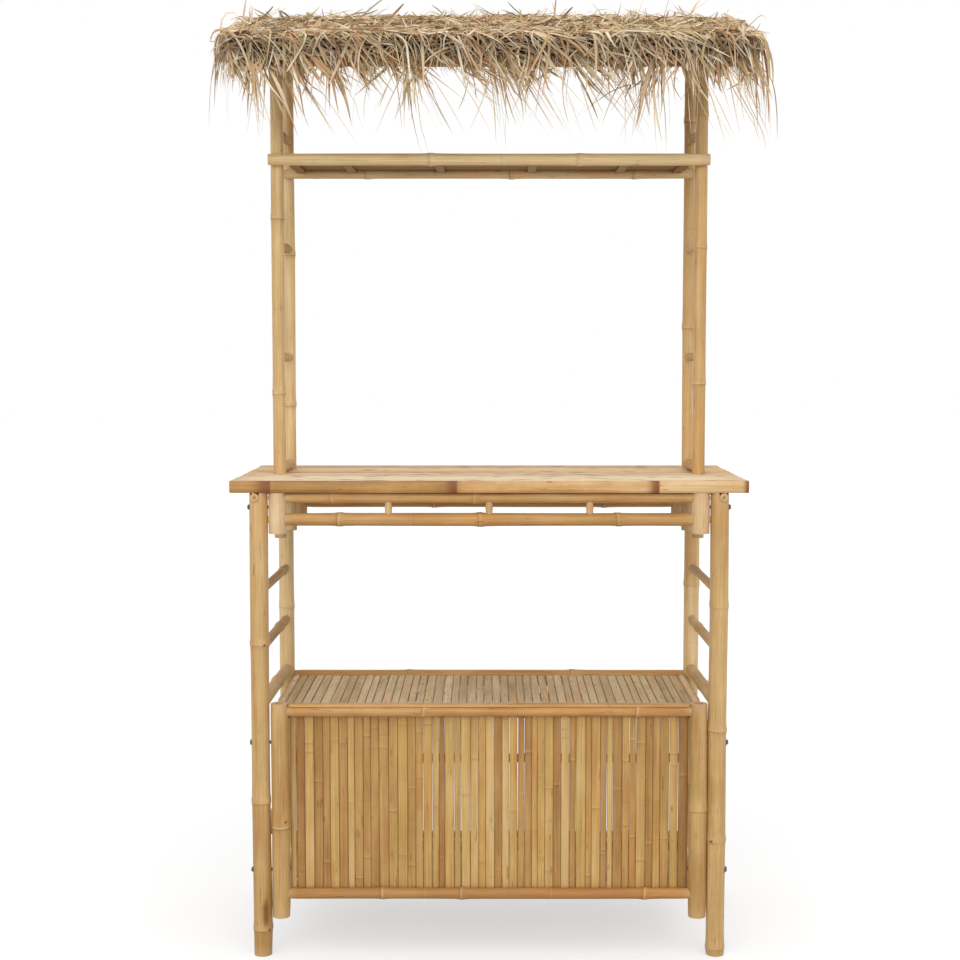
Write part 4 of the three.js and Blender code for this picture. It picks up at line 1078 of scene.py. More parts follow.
def make_cabinet_frame():
    for name, looks in CABINET_POST_LOOKS.items():
        upright("cabinet_post_" + name, "bar", "bamboo_pale", POLE, CABINET_POST,
                bores=(CABINET_POST_BORE, CABINET_POST_BORE), **looks)
    for key, (holder, holder_diameter, rings, tone) in CABINET_RAILS.items():
        node = "cabinet_rail_" + key
        low, high = corners(node)
        holders = [holder + name for name in SIDES]
        height = low[2] + CABINET_RAIL / 2 + RAIL_LIFT
        shell = Shell()
        pole(shell, diameter=CABINET_RAIL, rings=rings, tone=tone, kink=CABINET_RAIL_KINK,
             **between(height, holders, holder_diameter, holder_diameter))
        if key == "front_top":
            half = axis_of(holders[1])[0] - holder_diameter / 2 - CAP_GAP
            y = axis_of(holders[0])[1]
            base = high[2] - CAP_HEIGHT
            section = half_round_section(CAP_WIDTH, CAP_HEIGHT)
            drawn(shell, (-half, y, base), (half, y, base), section, UP, rings=(0.16, 0.5, 0.8),
                  tone=0.4, widening=0.01)
        shell.piece(node, "bar", GOLDEN)


def widths_of(count, total, spread):
    """Random widths that fill a total."""
    widths = 1 + random.uniform(-spread, spread, count)
    return widths * total / widths.sum()


def some_rings():
    return sorted(random.uniform(*SLAT_RINGS, random.integers(1, 3)))


def make_panel():
    node = "cabinet_front_panel"
    low, high = corners(node)
    left = axis_of("cabinet_post_left")[0] + CABINET_POST / 2
    right = axis_of("cabinet_post_right")[0] - CABINET_POST / 2
    shell = Shell()
    edge = left + PANEL_MARGIN
    back = low[1] + SLAT_THICKNESS
    for width in widths_of(PANEL_STRIPS, right - left - 2 * PANEL_MARGIN, PANEL_WIDTHS):
        is_open = random.random() < PANEL_OPEN
        gap = random.uniform(*PANEL_GAPS) if is_open else PANEL_CLOSED_GAP
        thickness = SLAT_THICKNESS - random.uniform(0, PANEL_STEP)
        drawn(
            shell, (edge + width / 2, back, low[2] + random.uniform(0, PANEL_END_STEP)),
            (edge + width / 2, back, high[2] - random.uniform(0, PANEL_END_STEP)),
            split_section(width - gap, thickness, crown=0.0012), TO_FRONT, rings=some_rings(),
            tone=random.normal(*PANEL_TONES), line=PANEL_LINE, widening=PANEL_WIDENING if is_open else 0.0,
        )
        edge += width
    bottom = middle("cabinet_rail_front_bottom")[2]
    top = corners("cabinet_rail_front_top")[0][2] + CABINET_RAIL / 2
    section = split_section(PANEL_BATTEN_WIDTH, high[1] - back, crown=0.001)
    for share in PANEL_BATTENS:
        height = bottom + share * (top - bottom)
        drawn(shell, (left + EDGE_CLEARANCE, high[1], height), (right - EDGE_CLEARANCE, high[1], height),
              section, TO_FRONT, rings=(0.2, 0.55, 0.86), widening=BATTEN_WIDENING)
    shell.piece(node, "bar", STRIP)


def make_slats(node, count, rear_rail):
    low, high = corners(node)
    x = high[0] - SIDE_POLE / 2
    rear_end = axis_of(rear_rail)[1] - CABINET_RAIL / 2
    front = low[1]
    rear = rear_end - SHELF_REAR_GAP
    top = high[2] - SHELF_TOP_GAP
    back = top - SLAT_THICKNESS
    inner = x - SIDE_POLE / 2 - EDGE_CLEARANCE
    shell = Shell()
    edge = -inner
    for width in widths_of(count, 2 * inner, SHELF_WIDTHS):
        gap = random.uniform(*(SHELF_GAPS if random.random() < SHELF_CLOSED else SHELF_WIDE_GAPS))
        thickness = SLAT_THICKNESS - random.uniform(0, SHELF_STEP)
        lean = random.uniform(-SHELF_LEAN, SHELF_LEAN)
        drawn(
            shell, (edge + width / 2 - lean, front, back),
            (edge + width / 2 + lean, rear - random.uniform(0, SHELF_REAR_GAP), back),
            split_section(width - gap, thickness, crown=0.001), UP, rings=some_rings(),
            tone=random.uniform(*SHELF_TONES), line=SHELF_LINE, widening=SHELF_WIDENING,
        )
        edge += width
    section = split_section(SLAT_BATTEN_WIDTH, back - low[2], crown=0.0008)
    for share in SLAT_BATTENS:
        y = front + share * (rear - front)
        drawn(shell, (-inner, y, low[2]), (inner, y, low[2]), section, UP, rings=(0.15, 0.5, 0.8),
              tone=random.uniform(*SHELF_TONES), widening=BATTEN_WIDENING)
    height = high[2] - SIDE_POLE / 2
    for sign in SIDES.values():
        pole(shell, (sign * x, front, height), (sign * x, rear_end, height), SIDE_POLE,
             rings=(0.35, 0.8), tone=0.95, kink=SIDE_POLE_KINK, sides=THIN_POLE_SIDES)
    shell.piece(node, "bar", GREY)


# Canopy posts, rungs and rack
CANOPY_BORE = 0.019
CANOPY_BORE_DEPTH = 0.045
CANOPY_KINK = 0.0008
FOOT_RUNG = 0.026
CANOPY_RUNG = 0.020
CANOPY_RUNG_RING = (0.35, 0.65)
CANOPY_RINGS = {
    "front_left": (0.3, 0.66),
    "front_right": (0.32, 0.6, 0.87),
    "rear_left": (0.26, 0.57),
    "rear_right": (0.42, 0.84),
}
CANOPY_TONES = {"front_left": 0.74, "front_right": 0.42, "rear_left": 0.85, "rear_right": 0.5}
RACK_RAILS = {"front": (0.028, (0.363, 0.7)), "rear": (0.023, (0.2, 0.55, 0.85))}
POLYGON_REACH = 0.951  # how far to the front the flat-sided pole of the frame reaches, as a share
RACK_STRIPS = 5
RACK_STRIP_GAP = 0.007
RACK_STRIP_THICKNESS = 0.005
RACK_BATTENS = (-0.958, -0.698, -0.246, 0.215, 0.666, 0.958)
RACK_BATTEN_WIDTH = 0.020
RACK_BATTEN_SINK = 0.0005  # how far the battens reach into the strips
ROOF_SLOPE = math.radians(16.3)
ROOF_POLE = 0.030
ROOF_BORE = 0.014
ROOF_HALF_DEPTH = 0.266
POLE_OVERHANG = 0.012
ROOF_MIDDLE = middle("roof_frame")
DOWN_SLOPE = np.array([0, -math.cos(ROOF_SLOPE), -math.sin(ROOF_SLOPE)])
ROOF_UP = np.array([0, -math.sin(ROOF_SLOPE), math.cos(ROOF_SLOPE)])


def on_roof(points):
    """Points of (across, towards the rear along the slope, out of the slope) in the hut's frame."""
    points = np.asarray(points, float)
    across, back, out = points[..., 0:1], points[..., 1:2], points[..., 2:3]
    return ROOF_MIDDLE + across * TO_RIGHT - back * DOWN_SLOPE + out * ROOF_UP


def in_roof(places):
    """The reverse of on_roof."""
    relative = places - ROOF_MIDDLE
    return np.stack([relative @ TO_RIGHT, -(relative @ DOWN_SLOPE), relative @ ROOF_UP], axis=-1)


def roof_beam_x():
    """How far from the middle the roof's beams over the posts lie."""
    front = axis_of("canopy_post_front_right")[0]
    rear = axis_of("canopy_post_rear_right")[0]
    return (front + rear) / 2


def make_canopy_posts():
    for name in SIDES:
        for end in ENDS:
            key = end + "_" + name
            node = "canopy_post_" + key
            x, y = axis_of(node)
            beam = math.copysign(roof_beam_x(), x) - x
            beam_height = ROOF_MIDDLE[2] + (y - ROOF_MIDDLE[1]) * math.tan(ROOF_SLOPE)
            top = corners(node)[1][2]
            shape = saddle(beam, beam_height, ROOF_POLE / 2, top, rise=math.tan(ROOF_SLOPE))
            upright(node, "canopy", "bamboo_pole", POLE, CANOPY_POSTS[end], rings=CANOPY_RINGS[key],
                    tone=CANOPY_TONES[key], end_shape=shape, bores=(CANOPY_BORE, 0),
                    bore_depth=CANOPY_BORE_DEPTH, kink=CANOPY_KINK)


def make_canopy_rungs():
    for name in SIDES:
        posts = ["canopy_post_" + end + "_" + name for end in ENDS]
        for key in ("foot", "1", "2", "3"):
            node = "canopy_rung_" + name + "_" + key
            line = between(middle(node)[2], posts, *CANOPY_POSTS.values())
            diameter = FOOT_RUNG if key == "foot" else CANOPY_RUNG
            lone_pole(node, "canopy", "bamboo_pole", RUNG, diameter=diameter, kink=0,
                      rings=(random.uniform(*CANOPY_RUNG_RING),), **line)


def make_rack():
    for end, (diameter, rings) in RACK_RAILS.items():
        node = "rack_rail_" + end
        low, high = corners(node)
        y = low[1] + diameter / 2 * POLYGON_REACH + RAIL_LIFT
        height = low[2] + diameter / 2 + RAIL_LIFT
        lone_pole(node, "canopy", "bamboo_pole", POLE, (low[0], y, height), (high[0], y, height), diameter,
                  rings=rings, bores=(diameter / 2, diameter / 2), tone=1.0, kink=CANOPY_KINK)
    low, high = corners("rack_strips")
    pitch = (high[1] - low[1] + RACK_STRIP_GAP) / RACK_STRIPS
    width = pitch - RACK_STRIP_GAP
    back = high[2] - RACK_STRIP_THICKNESS
    section = split_section(width, RACK_STRIP_THICKNESS, crown=0.0012)
    shell = Shell()
    for index in range(RACK_STRIPS):
        y = low[1] + index * pitch + width / 2
        drawn(shell, (low[0], y, back), (high[0], y, back), section, UP,
              rings=sorted(random.uniform(*SLAT_RINGS, 3)), widening=BATTEN_WIDENING)
    section = split_section(RACK_BATTEN_WIDTH, back - low[2] + RACK_BATTEN_SINK, crown=0.0005)
    for share in RACK_BATTENS:
        x = share * high[0]
        drawn(shell, (x, low[1] + 2 * EDGE_CLEARANCE, low[2]), (x, high[1] - EDGE_CLEARANCE, low[2]),
              section, UP, rings=(0.6,), widening=BATTEN_WIDENING)
    shell.piece("rack_strips", "canopy", RACK_LOOK)


def make_roof_frame():
    half_width = corners("roof_frame")[1][0]
    half_depth = ROOF_HALF_DEPTH + POLE_OVERHANG
    bores = (ROOF_BORE, ROOF_BORE)
    shell = Shell()
    for y in (-ROOF_HALF_DEPTH, ROOF_HALF_DEPTH):
        pole(shell, on_roof((-half_width, y, 0)), on_roof((half_width, y, 0)), ROOF_POLE,
             rings=(0.18, 0.46, 0.74), bores=bores)
    outer = half_width - POLE_OVERHANG
    for x in (-outer, -roof_beam_x(), 0, roof_beam_x(), outer):
        rings = (random.uniform(0.25, 0.4), random.uniform(0.6, 0.8))
        pole(shell, on_roof((x, -half_depth, 0)), on_roof((x, half_depth, 0)), ROOF_POLE * 0.98,
             rings=rings, bores=bores)
    shell.piece("roof_frame", "canopy", ROOF_PAINTED_SHADE)


# Thatch. The core is a low, bumpy mass on the roof's poles, coloured dark brown as painted shade of the
# thatch's inside; the blades lie on it and hang.
MAT_HALF_WIDTH = 0.600
MAT_HALF_DEPTH = 0.286
MAT_BOTTOM = 0.010
MAT_EDGE_TOP = 0.044
MAT_EDGE_TILT = 0.011  # how much higher the front edge is, and how much lower the rear one
MAT_TOP = 0.051
MAT_ROUNDING = 0.016
CORE_SIDES = 160
CORE_RINGS = 16
CORE_SQUARENESS = 0.24
CORE_BUMPS = (0.004, 0.0025)
CORE_UNDER_BUMPS = 0.4  # their share on the underside
LONG_STATIONS = 12
SHORT_STATIONS = 6
EDGE_SOFTNESS = 0.012
EARLY_FOLD = (-0.012, 0.028)  # how far before the edge a blade starts to fold down
BREAK_TURN = 0.8
DROOP = 0.02
DEEP_SHADE = 0.75  # painted shade: how dark blades are right on the core's upper side
DEEP_REACH = 0.0045
BLADE_LIMIT = np.array([0.662, 0.3195, 2.352])  # how far blades may reach: x, y and the height
LIMIT_SOFTNESS = 0.03
LIMIT_SPREAD = LIMIT_SOFTNESS * np.array([1, 0.5, 1])
# Painted shade under the mat's upper edge
SHELTER_DEPTH = 0.016
SHELTER_REACH = 0.045
SHELTER_EDGE = 0.002
SHELTER_FADES = (0.014, 0.03)
BLADE_TURN = 0.6
BLADE_TWIST = 0.10
BLADE_THICKNESS = 0.16  # a share of the width
LEAST_THICKNESS = 0.0004


def edge_level(y):
    return MAT_EDGE_TOP - MAT_EDGE_TILT * np.clip(y / MAT_HALF_DEPTH, -1, 1)


def mat_levels(x, y):
    """The core's upper and lower level above the plane of the poles."""
    away = np.maximum(np.abs(x) / MAT_HALF_WIDTH, np.abs(y) / MAT_HALF_DEPTH)
    edge = edge_level(y)
    top = edge + (MAT_TOP - edge) * np.clip(1 - away**3, 0, 1)
    return top, np.full_like(top, MAT_BOTTOM)


def mat_distance(local):
    """The distance from the core's surface, and the way out of it, at places in roof terms."""
    top, bottom = mat_levels(local[:, 0], local[:, 1])
    half_height = (top - bottom) / 2
    rounding = np.minimum(MAT_ROUNDING, half_height * 0.98)
    relative = local.copy()
    relative[:, 2] -= (top + bottom) / 2
    half = columns(np.full_like(top, MAT_HALF_WIDTH), np.full_like(top, MAT_HALF_DEPTH), half_height)
    beyond = np.abs(relative) - (half - rounding[:, None])
    outside = np.maximum(beyond, 0)
    outside_length = np.linalg.norm(outside, axis=1)
    deepest = beyond.max(axis=1)
    distance = outside_length + np.minimum(deepest, 0) - rounding
    way = np.where(outside_length[:, None] > 1e-6, outside, beyond == deepest[:, None])
    return distance, unit(way * np.sign(relative) + 1e-9)


def make_core():
    angles = np.arange(CORE_SIDES) * FULL_TURN / CORE_SIDES
    outline = [np.sign(wave) * np.abs(wave) ** CORE_SQUARENESS for wave in (np.cos(angles), np.sin(angles))]
    shares = np.linspace(0.03, 1, CORE_RINGS)
    rows = []
    for index, share in enumerate([*shares, *shares[-2::-1]]):
        is_upper = index >= CORE_RINGS
        x = outline[0] * share * MAT_HALF_WIDTH
        y = outline[1] * share * MAT_HALF_DEPTH
        top, bottom = mat_levels(x, y)
        edge = (top + bottom) / 2
        fullness = math.sqrt(1 - share**8)
        bump = CORE_BUMPS[0] * np.sin(x * 57 + 3 * np.sin(y * 40)) * np.sin(y * 71 + 2 * np.sin(x * 33))
        bump = bump + CORE_BUMPS[1] * np.sin(x * 143 + y * 101) * np.sin(y * 167 - x * 60)
        level = edge + ((top if is_upper else bottom) - edge) * fullness
        rows.append(columns(x, y, level + bump * (1.0 if is_upper else CORE_UNDER_BUMPS)))
    points = np.concatenate(rows)
    shell = Shell()
    shell.add(on_roof(points), tube_faces(len(rows), CORE_SIDES), points[:, [0, 2, 1]], tone=0.4)
    shell.piece("thatch_core", "canopy", THATCH_CORE_PAINTED_SHADE, ["thatch_mat"], sharp=60)


def spin(vectors, axes, angles):
    """Turns each vector about its axis by its angle."""
    cosine = np.cos(angles)[:, None]
    sine = np.sin(angles)[:, None]
    along = (vectors * axes).sum(axis=1, keepdims=True)
    return vectors * cosine + np.cross(axes, vectors) * sine + axes * along * (1 - cosine)


def grow_blades(roots, headings, hangs, lengths, lifts, folds, spring, breaks, stations):
    """Lets each blade run out from its root along the core, fold down past its edge and hang."""
    count = len(roots)
    place = roots
    heading = headings
    places = [place]
    directions = [heading]
    step = (lengths / (stations - 1))[:, None]
    curl_axis = unit(random.normal(size=(count, 3)))
    curl = random.normal(0, spring, count)
    broken = random.random(count) < breaks
    break_at = random.integers(2, stations - 1, count)
    break_turn = random.normal(0, BREAK_TURN, count)
    limit = BLADE_LIMIT - random.uniform(0, 1, (count, 3)) * LIMIT_SPREAD
    early = random.uniform(*EARLY_FOLD, count)
    for station in range(1, stations):
        heading = spin(heading, curl_axis, curl)
        heading = spin(heading, curl_axis, np.where(broken & (break_at == station), break_turn, 0))
        local = in_roof(place + heading * step * 0.5)
        beyond = np.maximum(np.abs(local[:, 0]) - MAT_HALF_WIDTH, np.abs(local[:, 1]) - MAT_HALF_DEPTH)
        pull = (folds * np.clip((beyond + early) / EDGE_SOFTNESS, 0, 1))[:, None]
        heading = unit(heading * (1 - pull) + hangs * pull)

        # Near the room's limits a blade stops going outwards or up
        ahead = place + heading * step
        reached = columns(np.abs(ahead[:, 0]), np.abs(ahead[:, 1]), ahead[:, 2])
        outward = columns(heading[:, 0] * ahead[:, 0], heading[:, 1] * ahead[:, 1], heading[:, 2]) > 0
        held = outward * np.clip((reached - limit) / LIMIT_SOFTNESS + 1, 0, 1)
        heading = unit(heading * (1 - held) - UP * DROOP)

        # It stays outside the core, and runs along it where they meet
        place = place + heading * step
        local = in_roof(place)
        distance, way = mat_distance(local)
        inside = np.maximum(lifts - distance, 0)
        place = on_roof(local + way * inside[:, None])
        out = on_roof(way) - ROOF_MIDDLE
        inward = np.minimum((heading * out).sum(axis=1), 0) * (inside > 0)
        heading = unit(heading - out * inward[:, None] * 0.9)
        place[:, :2] = np.clip(place[:, :2], -BLADE_LIMIT[:2], BLADE_LIMIT[:2])
        place[:, 2] = np.minimum(place[:, 2], BLADE_LIMIT[2])
        places.append(place)
        directions.append(heading)
    return np.stack(places, axis=1), np.stack(directions, axis=1)


def painted_shelter_shade(points):
    """Painted shade for a place: how much of the light the mat keeps from it, most close under its upper
    edge.
    """
    local = in_roof(points)
    distance = np.maximum(mat_distance(local)[0], 0)
    fade_below, fade_above = SHELTER_FADES
    below = np.clip((edge_level(local[:, 1]) + SHELTER_EDGE - local[:, 2]) / fade_below, 0, 1)
    above = np.clip((local[:, 2] + SHELTER_REACH) / fade_above, 0, 1)
    deep = DEEP_SHADE * np.exp(-distance / DEEP_REACH) * (1 - below)
    return np.exp(-distance / SHELTER_DEPTH) * below * above + deep


def blade_piece(name, roots, headings, hangs, lengths, widths, lifts, folds, tones, spring,
                blunt=0.0, breaks=0.2, replaced=(), stations=LONG_STATIONS):
    """Closed three-sided ribbons that end in a fine tip, or for a share of them in a broken end."""
    places, directions = grow_blades(
        roots, headings, hangs, lengths, lifts, folds, spring, breaks, stations
    )
    count = len(roots)
    shares = np.linspace(0, 1, stations)
    pointed = (0.4 + 0.6 * np.minimum(1, shares * 2.2)) * np.maximum(1 - shares**2.2, 0) ** 0.9 + 0.03
    stubby = 0.8 + 0.2 * np.sin(shares * math.pi) - 0.35 * np.maximum(shares - 0.85, 0) / 0.15
    is_blunt = random.random(count) < blunt
    out = on_roof(mat_distance(in_roof(places[:, 0]))[1]) - ROOF_MIDDLE
    side = unit(np.cross(directions[:, 0], out) + 1e-6)
    side = spin(side, unit(directions[:, 0]), random.normal(0, BLADE_TURN, count))
    twist = random.normal(0, BLADE_TWIST, count)
    rows = []
    for station in range(stations):
        along = unit(directions[:, station])
        side = side - along * (side * along).sum(axis=1, keepdims=True)
        side = spin(unit(side), along, twist)
        taper = np.where(is_blunt, stubby[station], pointed[station])
        across = side * (widths * taper / 2)[:, None]
        thickness = np.maximum(widths * BLADE_THICKNESS, LEAST_THICKNESS) * (taper + 0.1)
        centre = places[:, station]
        rows += [centre - across, centre + across, centre + np.cross(side, along) * thickness[:, None]]
    points = columns(*rows).reshape(-1, 3)
    each = stations * 3
    pattern = np.array(tube_faces(stations, 3)[:-2])
    ends = np.array(tube_faces(stations, 3)[-2:])
    faces = []
    for base in range(0, count * each, each):
        faces += (pattern + base).tolist() + (ends + base).tolist()
    seeds = random.uniform(-GRAIN_SHIFT, GRAIN_SHIFT, (count, 3))
    across = widths[:, None] * np.tile([-0.5, 0.5, 0], stations)
    grain = np.stack([across, np.zeros_like(across), lengths[:, None] * np.repeat(shares, 3)], axis=2)
    grain = (grain + seeds[:, None, :]).reshape(-1, 3)
    shell = Shell()
    # The rim value holds painted shade from the mat.
    shell.add(points, faces, grain, tone=np.repeat(tones, each), rim=painted_shelter_shade(points))
    shell.piece(name, "canopy", THATCH, replaced, sharp=75)


class Draws:
    """Random values, one for each of a number of blades."""

    def __init__(self, count):
        self.count = count

    def between(self, low, high):
        return random.uniform(low, high, self.count)

    def around(self, mean, spread):
        return random.normal(mean, spread, self.count)

    def chosen(self, share):
        return random.random(self.count) < share

    def mostly_near(self, least, reach, power):
        return least + reach * random.random(self.count) ** power

    def hanging(self, sideways, spread, outwards, out_spread):
        """Directions in which blades hang: down, leaning by the given shares to +X and to -Y."""
        lean = self.around(sideways, spread)
        out = self.around(outwards, out_spread)
        return unit(columns(lean, -out, -np.ones(self.count)))


def roof_roots(x, y, lifts):
    """Root places on the core's upper side, raised by each blade's lift."""
    return on_roof(columns(x, y, mat_levels(x, y)[0] + lifts))


def heading_of(azimuth, climb):
    """Directions by azimuth (0 to the right, -90 degrees down the slope) and climb off the roof."""
    return unit(on_roof(columns(np.cos(azimuth), np.sin(azimuth), climb)) - ROOF_MIDDLE)


def make_top_blades():
    """Broken stems and blades that lie over one another, most of them along the roof."""
    draws = Draws(3500)
    for name, first, last in (("front", -1, 0), ("rear", 0, 1)):
        x = draws.between(-1, 1) * (MAT_HALF_WIDTH - 0.005)
        y = draws.between(first, last) * (MAT_HALF_DEPTH - 0.002)
        lifts = draws.between(-0.002, 0.012)
        azimuth = np.radians(draws.around(-18, 42)) + math.pi * draws.chosen(0.4)
        climb = draws.around(0, np.where(draws.chosen(0.15), 0.26, 0.11))
        blade_piece(
            "thatch_top_" + name, roof_roots(x, y, lifts), heading_of(azimuth, climb),
            draws.hanging(0.4, 0.7, 0.1, 0.15), lengths=draws.mostly_near(0.018, 0.07, 1.5),
            widths=draws.between(0.0016, 0.0062), lifts=lifts, folds=draws.between(0.1, 0.6),
            tones=draws.between(0, 1), spring=0.08, blunt=0.6, breaks=0.35, stations=SHORT_STATIONS,
        )


def make_stray_blades():
    """Thin stems that stand up a little from the roof."""
    draws = Draws(60)
    x = draws.between(-1, 1) * (MAT_HALF_WIDTH - 0.01)
    y = draws.between(-1, 1) * (MAT_HALF_DEPTH - 0.01)
    lifts = draws.between(0.003, 0.008)
    azimuth = np.radians(draws.between(-180, 180))
    blade_piece(
        "thatch_strays", roof_roots(x, y, lifts), heading_of(azimuth, np.abs(draws.around(0, 0.45))),
        draws.hanging(0.2, 0.6, 0.0, 0.2), lengths=draws.between(0.015, 0.034),
        widths=draws.between(0.0008, 0.0020), lifts=lifts, folds=draws.between(0.0, 0.3),
        tones=draws.between(0.25, 1.0), spring=0.08, blunt=0.4, stations=SHORT_STATIONS,
    )


def make_front_blades():
    """Blades that fold over the front edge and hang, most of them leaning to the right."""
    draws = Draws(420)
    x = draws.between(-1, 1) * (MAT_HALF_WIDTH - 0.002)
    inside = draws.mostly_near(0, 0.05, 1.2)
    lifts = draws.between(-0.002, 0.012)
    azimuth = np.radians(draws.around(-50, 36))
    reach = draws.mostly_near(0.04, 0.11, 1.3)
    blade_piece(
        "thatch_front", roof_roots(x, inside - MAT_HALF_DEPTH, lifts),
        heading_of(azimuth, draws.between(-0.04, 0.15)), draws.hanging(0.42, 0.6, 0.08, 0.1),
        lengths=inside * 1.15 + reach, widths=draws.between(0.0028, 0.0078), lifts=lifts,
        folds=draws.between(0.25, 0.95), tones=draws.between(0.15, 1.0), spring=0.06, blunt=0.2,
        breaks=0.4,
    )


def make_face_blades():
    """Short pieces that cross one another on the mat's front face."""
    draws = Draws(760)
    x = draws.between(-1, 1) * (MAT_HALF_WIDTH - 0.004)
    y = -MAT_HALF_DEPTH + draws.between(-0.004, 0.01)
    roots = on_roof(columns(x, y, draws.between(MAT_BOTTOM, MAT_EDGE_TOP + 0.006)))
    turn = draws.around(-0.5, 0.8) + math.pi * draws.chosen(0.35)
    out = -np.abs(draws.around(0.15, 0.25))
    blade_piece(
        "thatch_face", roots, unit(columns(np.cos(turn), out, np.sin(turn))),
        draws.hanging(0.5, 0.8, 0.05, 0.1), lengths=draws.mostly_near(0.02, 0.065, 1.4),
        widths=draws.between(0.0022, 0.0062), lifts=draws.between(0.0, 0.01),
        folds=draws.between(0.02, 0.3), tones=draws.between(0.1, 1.0), spring=0.09, blunt=0.45,
        breaks=0.4, stations=SHORT_STATIONS,
    )


def make_tufts():
    """Tufts that hang from under the front edge in front of the roof's pole."""
    tufts = 44
    draws = Draws(640)
    each_tuft = Draws(tufts)
    tuft = random.integers(0, tufts, draws.count)
    middles = np.linspace(-1, 1, tufts) + each_tuft.around(0, 0.02)
    x = np.clip(middles[tuft] + draws.around(0, 0.009), -1, 1) * (MAT_HALF_WIDTH - 0.01)
    y = -MAT_HALF_DEPTH + draws.between(-0.003, 0.014)
    roots = on_roof(columns(x, y, draws.between(MAT_BOTTOM - 0.012, MAT_EDGE_TOP * 0.75)))
    reach = each_tuft.between(0.05, 0.19)[tuft] * draws.between(0.35, 1.1)
    is_long = draws.chosen(0.14)
    reach = np.where(is_long, draws.between(0.16, 0.23), reach)
    sideways = each_tuft.around(0.45, 0.42)[tuft] + draws.around(0, 0.22)
    outwards = each_tuft.around(-0.03, 0.05)[tuft] - draws.around(0, 0.05)
    hangs = columns(sideways, outwards, -np.ones(draws.count))
    headings = unit(hangs + random.normal(0, 0.42, (draws.count, 3)))
    blade_piece(
        "thatch_tufts", roots, headings, unit(hangs), reach,
        widths=np.where(is_long, draws.between(0.0018, 0.0038), draws.between(0.0035, 0.0098)),
        lifts=draws.between(0, 0.004), folds=draws.between(0.12, 0.45), tones=draws.between(0.1, 1.0),
        spring=0.06, breaks=0.3, replaced=["thatch_fringe_front"],
    )


def make_end_blades():
    """Blades that run out over the left and right edges."""
    draws = Draws(340)
    for name, sign in SIDES.items():
        y = MAT_HALF_DEPTH * (1 - draws.mostly_near(0, 2, 0.75)) * -0.99
        inside = draws.between(0.0, 0.06)
        lifts = draws.between(0, 0.012)
        azimuth = (0 if sign > 0 else math.pi) + draws.around(0, 0.7)
        reach = draws.mostly_near(0.05, 0.11, 1.3)
        reach = np.where(draws.chosen(0.06), draws.between(0.16, 0.24), reach)
        blade_piece(
            "thatch_end_" + name, roof_roots(sign * (MAT_HALF_WIDTH - inside), y, lifts),
            heading_of(azimuth, draws.between(-0.02, 0.12)),
            draws.hanging(0.12 + sign * 0.16, 0.26, 0.02, 0.25), lengths=reach + inside,
            widths=draws.between(0.0028, 0.0075), lifts=lifts, folds=draws.between(0.3, 0.8),
            tones=draws.between(0.1, 1.0), spring=0.05,
        )


def make_rear_blades():
    draws = Draws(680)
    x = draws.between(-1, 1) * (MAT_HALF_WIDTH - 0.004)
    y = draws.between(MAT_HALF_DEPTH - 0.06, MAT_HALF_DEPTH - 0.002)
    lifts = draws.between(0, 0.01)
    azimuth = np.radians(draws.around(70, 26))
    blade_piece(
        "thatch_rear", roof_roots(x, y, lifts), heading_of(azimuth, draws.between(-0.1, 0.02)),
        draws.hanging(0.3, 0.4, -0.03, 0.1), lengths=(MAT_HALF_DEPTH - y) * 1.2 + draws.between(0.04, 0.14),
        widths=draws.between(0.003, 0.0075), lifts=lifts, folds=draws.between(0.5, 0.9),
        tones=draws.between(0.1, 1.0), spring=0.045, replaced=["thatch_fringe_rear"],
    )


def make_under_blades():
    """Long stems that lie down the slope on the core's underside, between the roof's poles."""
    draws = Draws(1700)
    x = draws.between(-1, 1) * (MAT_HALF_WIDTH - 0.03)
    y = draws.between(-0.8, 1) * (MAT_HALF_DEPTH - 0.03)
    lifts = draws.between(0.0005, 0.006)
    azimuth = np.radians(draws.around(-90, 9)) + math.pi * draws.chosen(0.3)
    length = draws.between(0.06, 0.19)
    room = np.where(np.sin(azimuth) < 0, y, -y) + MAT_HALF_DEPTH - 0.012
    blade_piece(
        "thatch_under", on_roof(columns(x, y, MAT_BOTTOM - lifts)),
        heading_of(azimuth, draws.between(-0.03, 0.0)), draws.hanging(0.0, 0.2, 0.0, 0.2),
        lengths=np.minimum(length, np.maximum(room, 0.03)), widths=draws.between(0.003, 0.0075),
        lifts=lifts, folds=draws.between(0.0, 0.1), tones=draws.between(0.1, 1.0), spring=0.012,
        blunt=0.4, breaks=0.1, stations=SHORT_STATIONS,
    )


# Studio: a pale floor, a plain sky and soft lamps
FLOOR_HALF = 30.0
FLOOR_SHADE = 0.54
FLOOR_LIFT = 0.53  # what brings the lit floor up to white for the camera
SKY_LEVEL = 0.76
WHITE = (1, 1, 1, 1)
LAMP_SOFTNESS = 50  # degrees
LAMPS = (
    ("key", 0.95, (0.42, 1.0, -0.24)),
    ("fill", 0.55, (-0.4, 1.0, -0.12)),
    ("overhead", 0.45, (-0.15, 0.5, -1.0)),
)


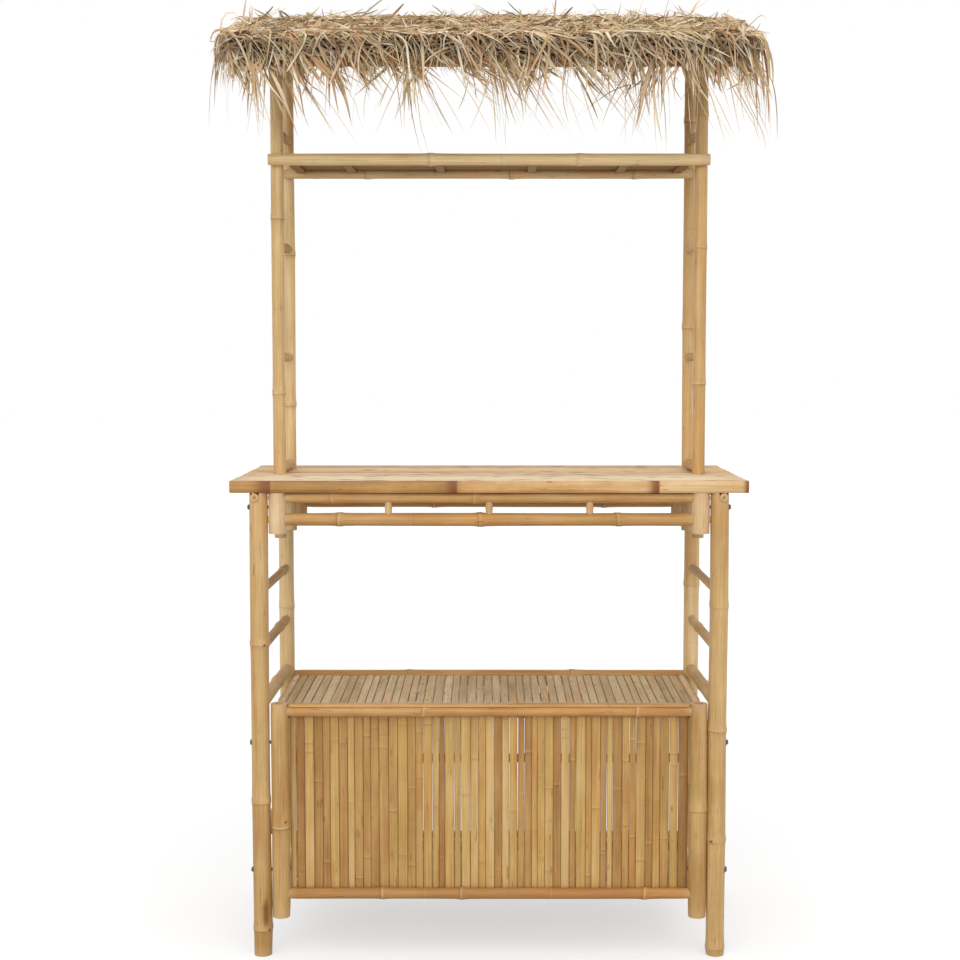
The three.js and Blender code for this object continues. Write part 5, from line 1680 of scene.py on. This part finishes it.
def seen_directly(nodes, links):
    """One where a ray comes from the camera, a mirror or glass."""
    path = nodes.new("ShaderNodeLightPath")
    total = path.outputs["Is Camera Ray"]
    for kind in ("Is Glossy Ray", "Is Transmission Ray"):
        either = nodes.new("ShaderNodeMath")
        either.operation = "MAXIMUM"
        links.new(total, either.inputs[0])
        links.new(path.outputs[kind], either.inputs[1])
        total = either.outputs[0]
    return total


def add_floor():
    mesh = bpy.data.meshes.new("floor")
    size = FLOOR_HALF
    outline = [(-size, -size, 0), (size, -size, 0), (size, size, 0), (-size, size, 0)]
    mesh.from_pydata(outline, [], [(0, 1, 2, 3)])
    add_object("floor", mesh)
    tree = Tree("floor")
    links = tree.material.node_tree.links
    lift = tree.times(seen_directly(tree.nodes, links), FLOOR_LIFT)
    tree.put(WHITE, tree.shader.inputs["Emission Color"])
    tree.put(lift, tree.shader.inputs["Emission Strength"])
    mesh.materials.append(tree.finish((FLOOR_SHADE, FLOOR_SHADE, FLOOR_SHADE, 1), 0.9, specular=0.1))


def add_sky():
    world = bpy.data.worlds.new("studio")
    bpy.context.scene.world = world
    world.use_nodes = True
    nodes = world.node_tree.nodes
    links = world.node_tree.links
    background = nodes["Background"]
    background.inputs["Color"].default_value = WHITE
    level = nodes.new("ShaderNodeMapRange")
    level.inputs["To Min"].default_value = SKY_LEVEL
    level.inputs["To Max"].default_value = 1.0
    links.new(seen_directly(nodes, links), level.inputs["Value"])
    links.new(level.outputs["Result"], background.inputs["Strength"])


def add_lamps():
    for name, strength, direction in LAMPS:
        data = bpy.data.lights.new(name, "SUN")
        data.energy = strength
        data.angle = math.radians(LAMP_SOFTNESS)
        lamp = add_object(name, data)
        lamp.rotation_euler = Vector(direction).to_track_quat("-Z", "Y").to_euler()


bpy.context.scene.view_settings.view_transform = "Standard"
add_camera()
add_floor()
add_sky()
add_lamps()
make_legs()
make_rungs()
make_bolts()
make_screws()
make_apron()
make_counter()
make_counter_edge()
make_cabinet_frame()
make_panel()
make_slats("cabinet_top_slats", SHELF_SLATS, "cabinet_rail_rear_top")
make_slats("cabinet_floor_slats", FLOOR_SLATS, "cabinet_rail_rear_bottom")
make_canopy_posts()
make_canopy_rungs()
make_rack()
make_roof_frame()
make_core()
make_top_blades()
make_stray_blades()
make_front_blades()
make_face_blades()
make_tufts()
make_end_blades()
make_rear_blades()
make_under_blades()
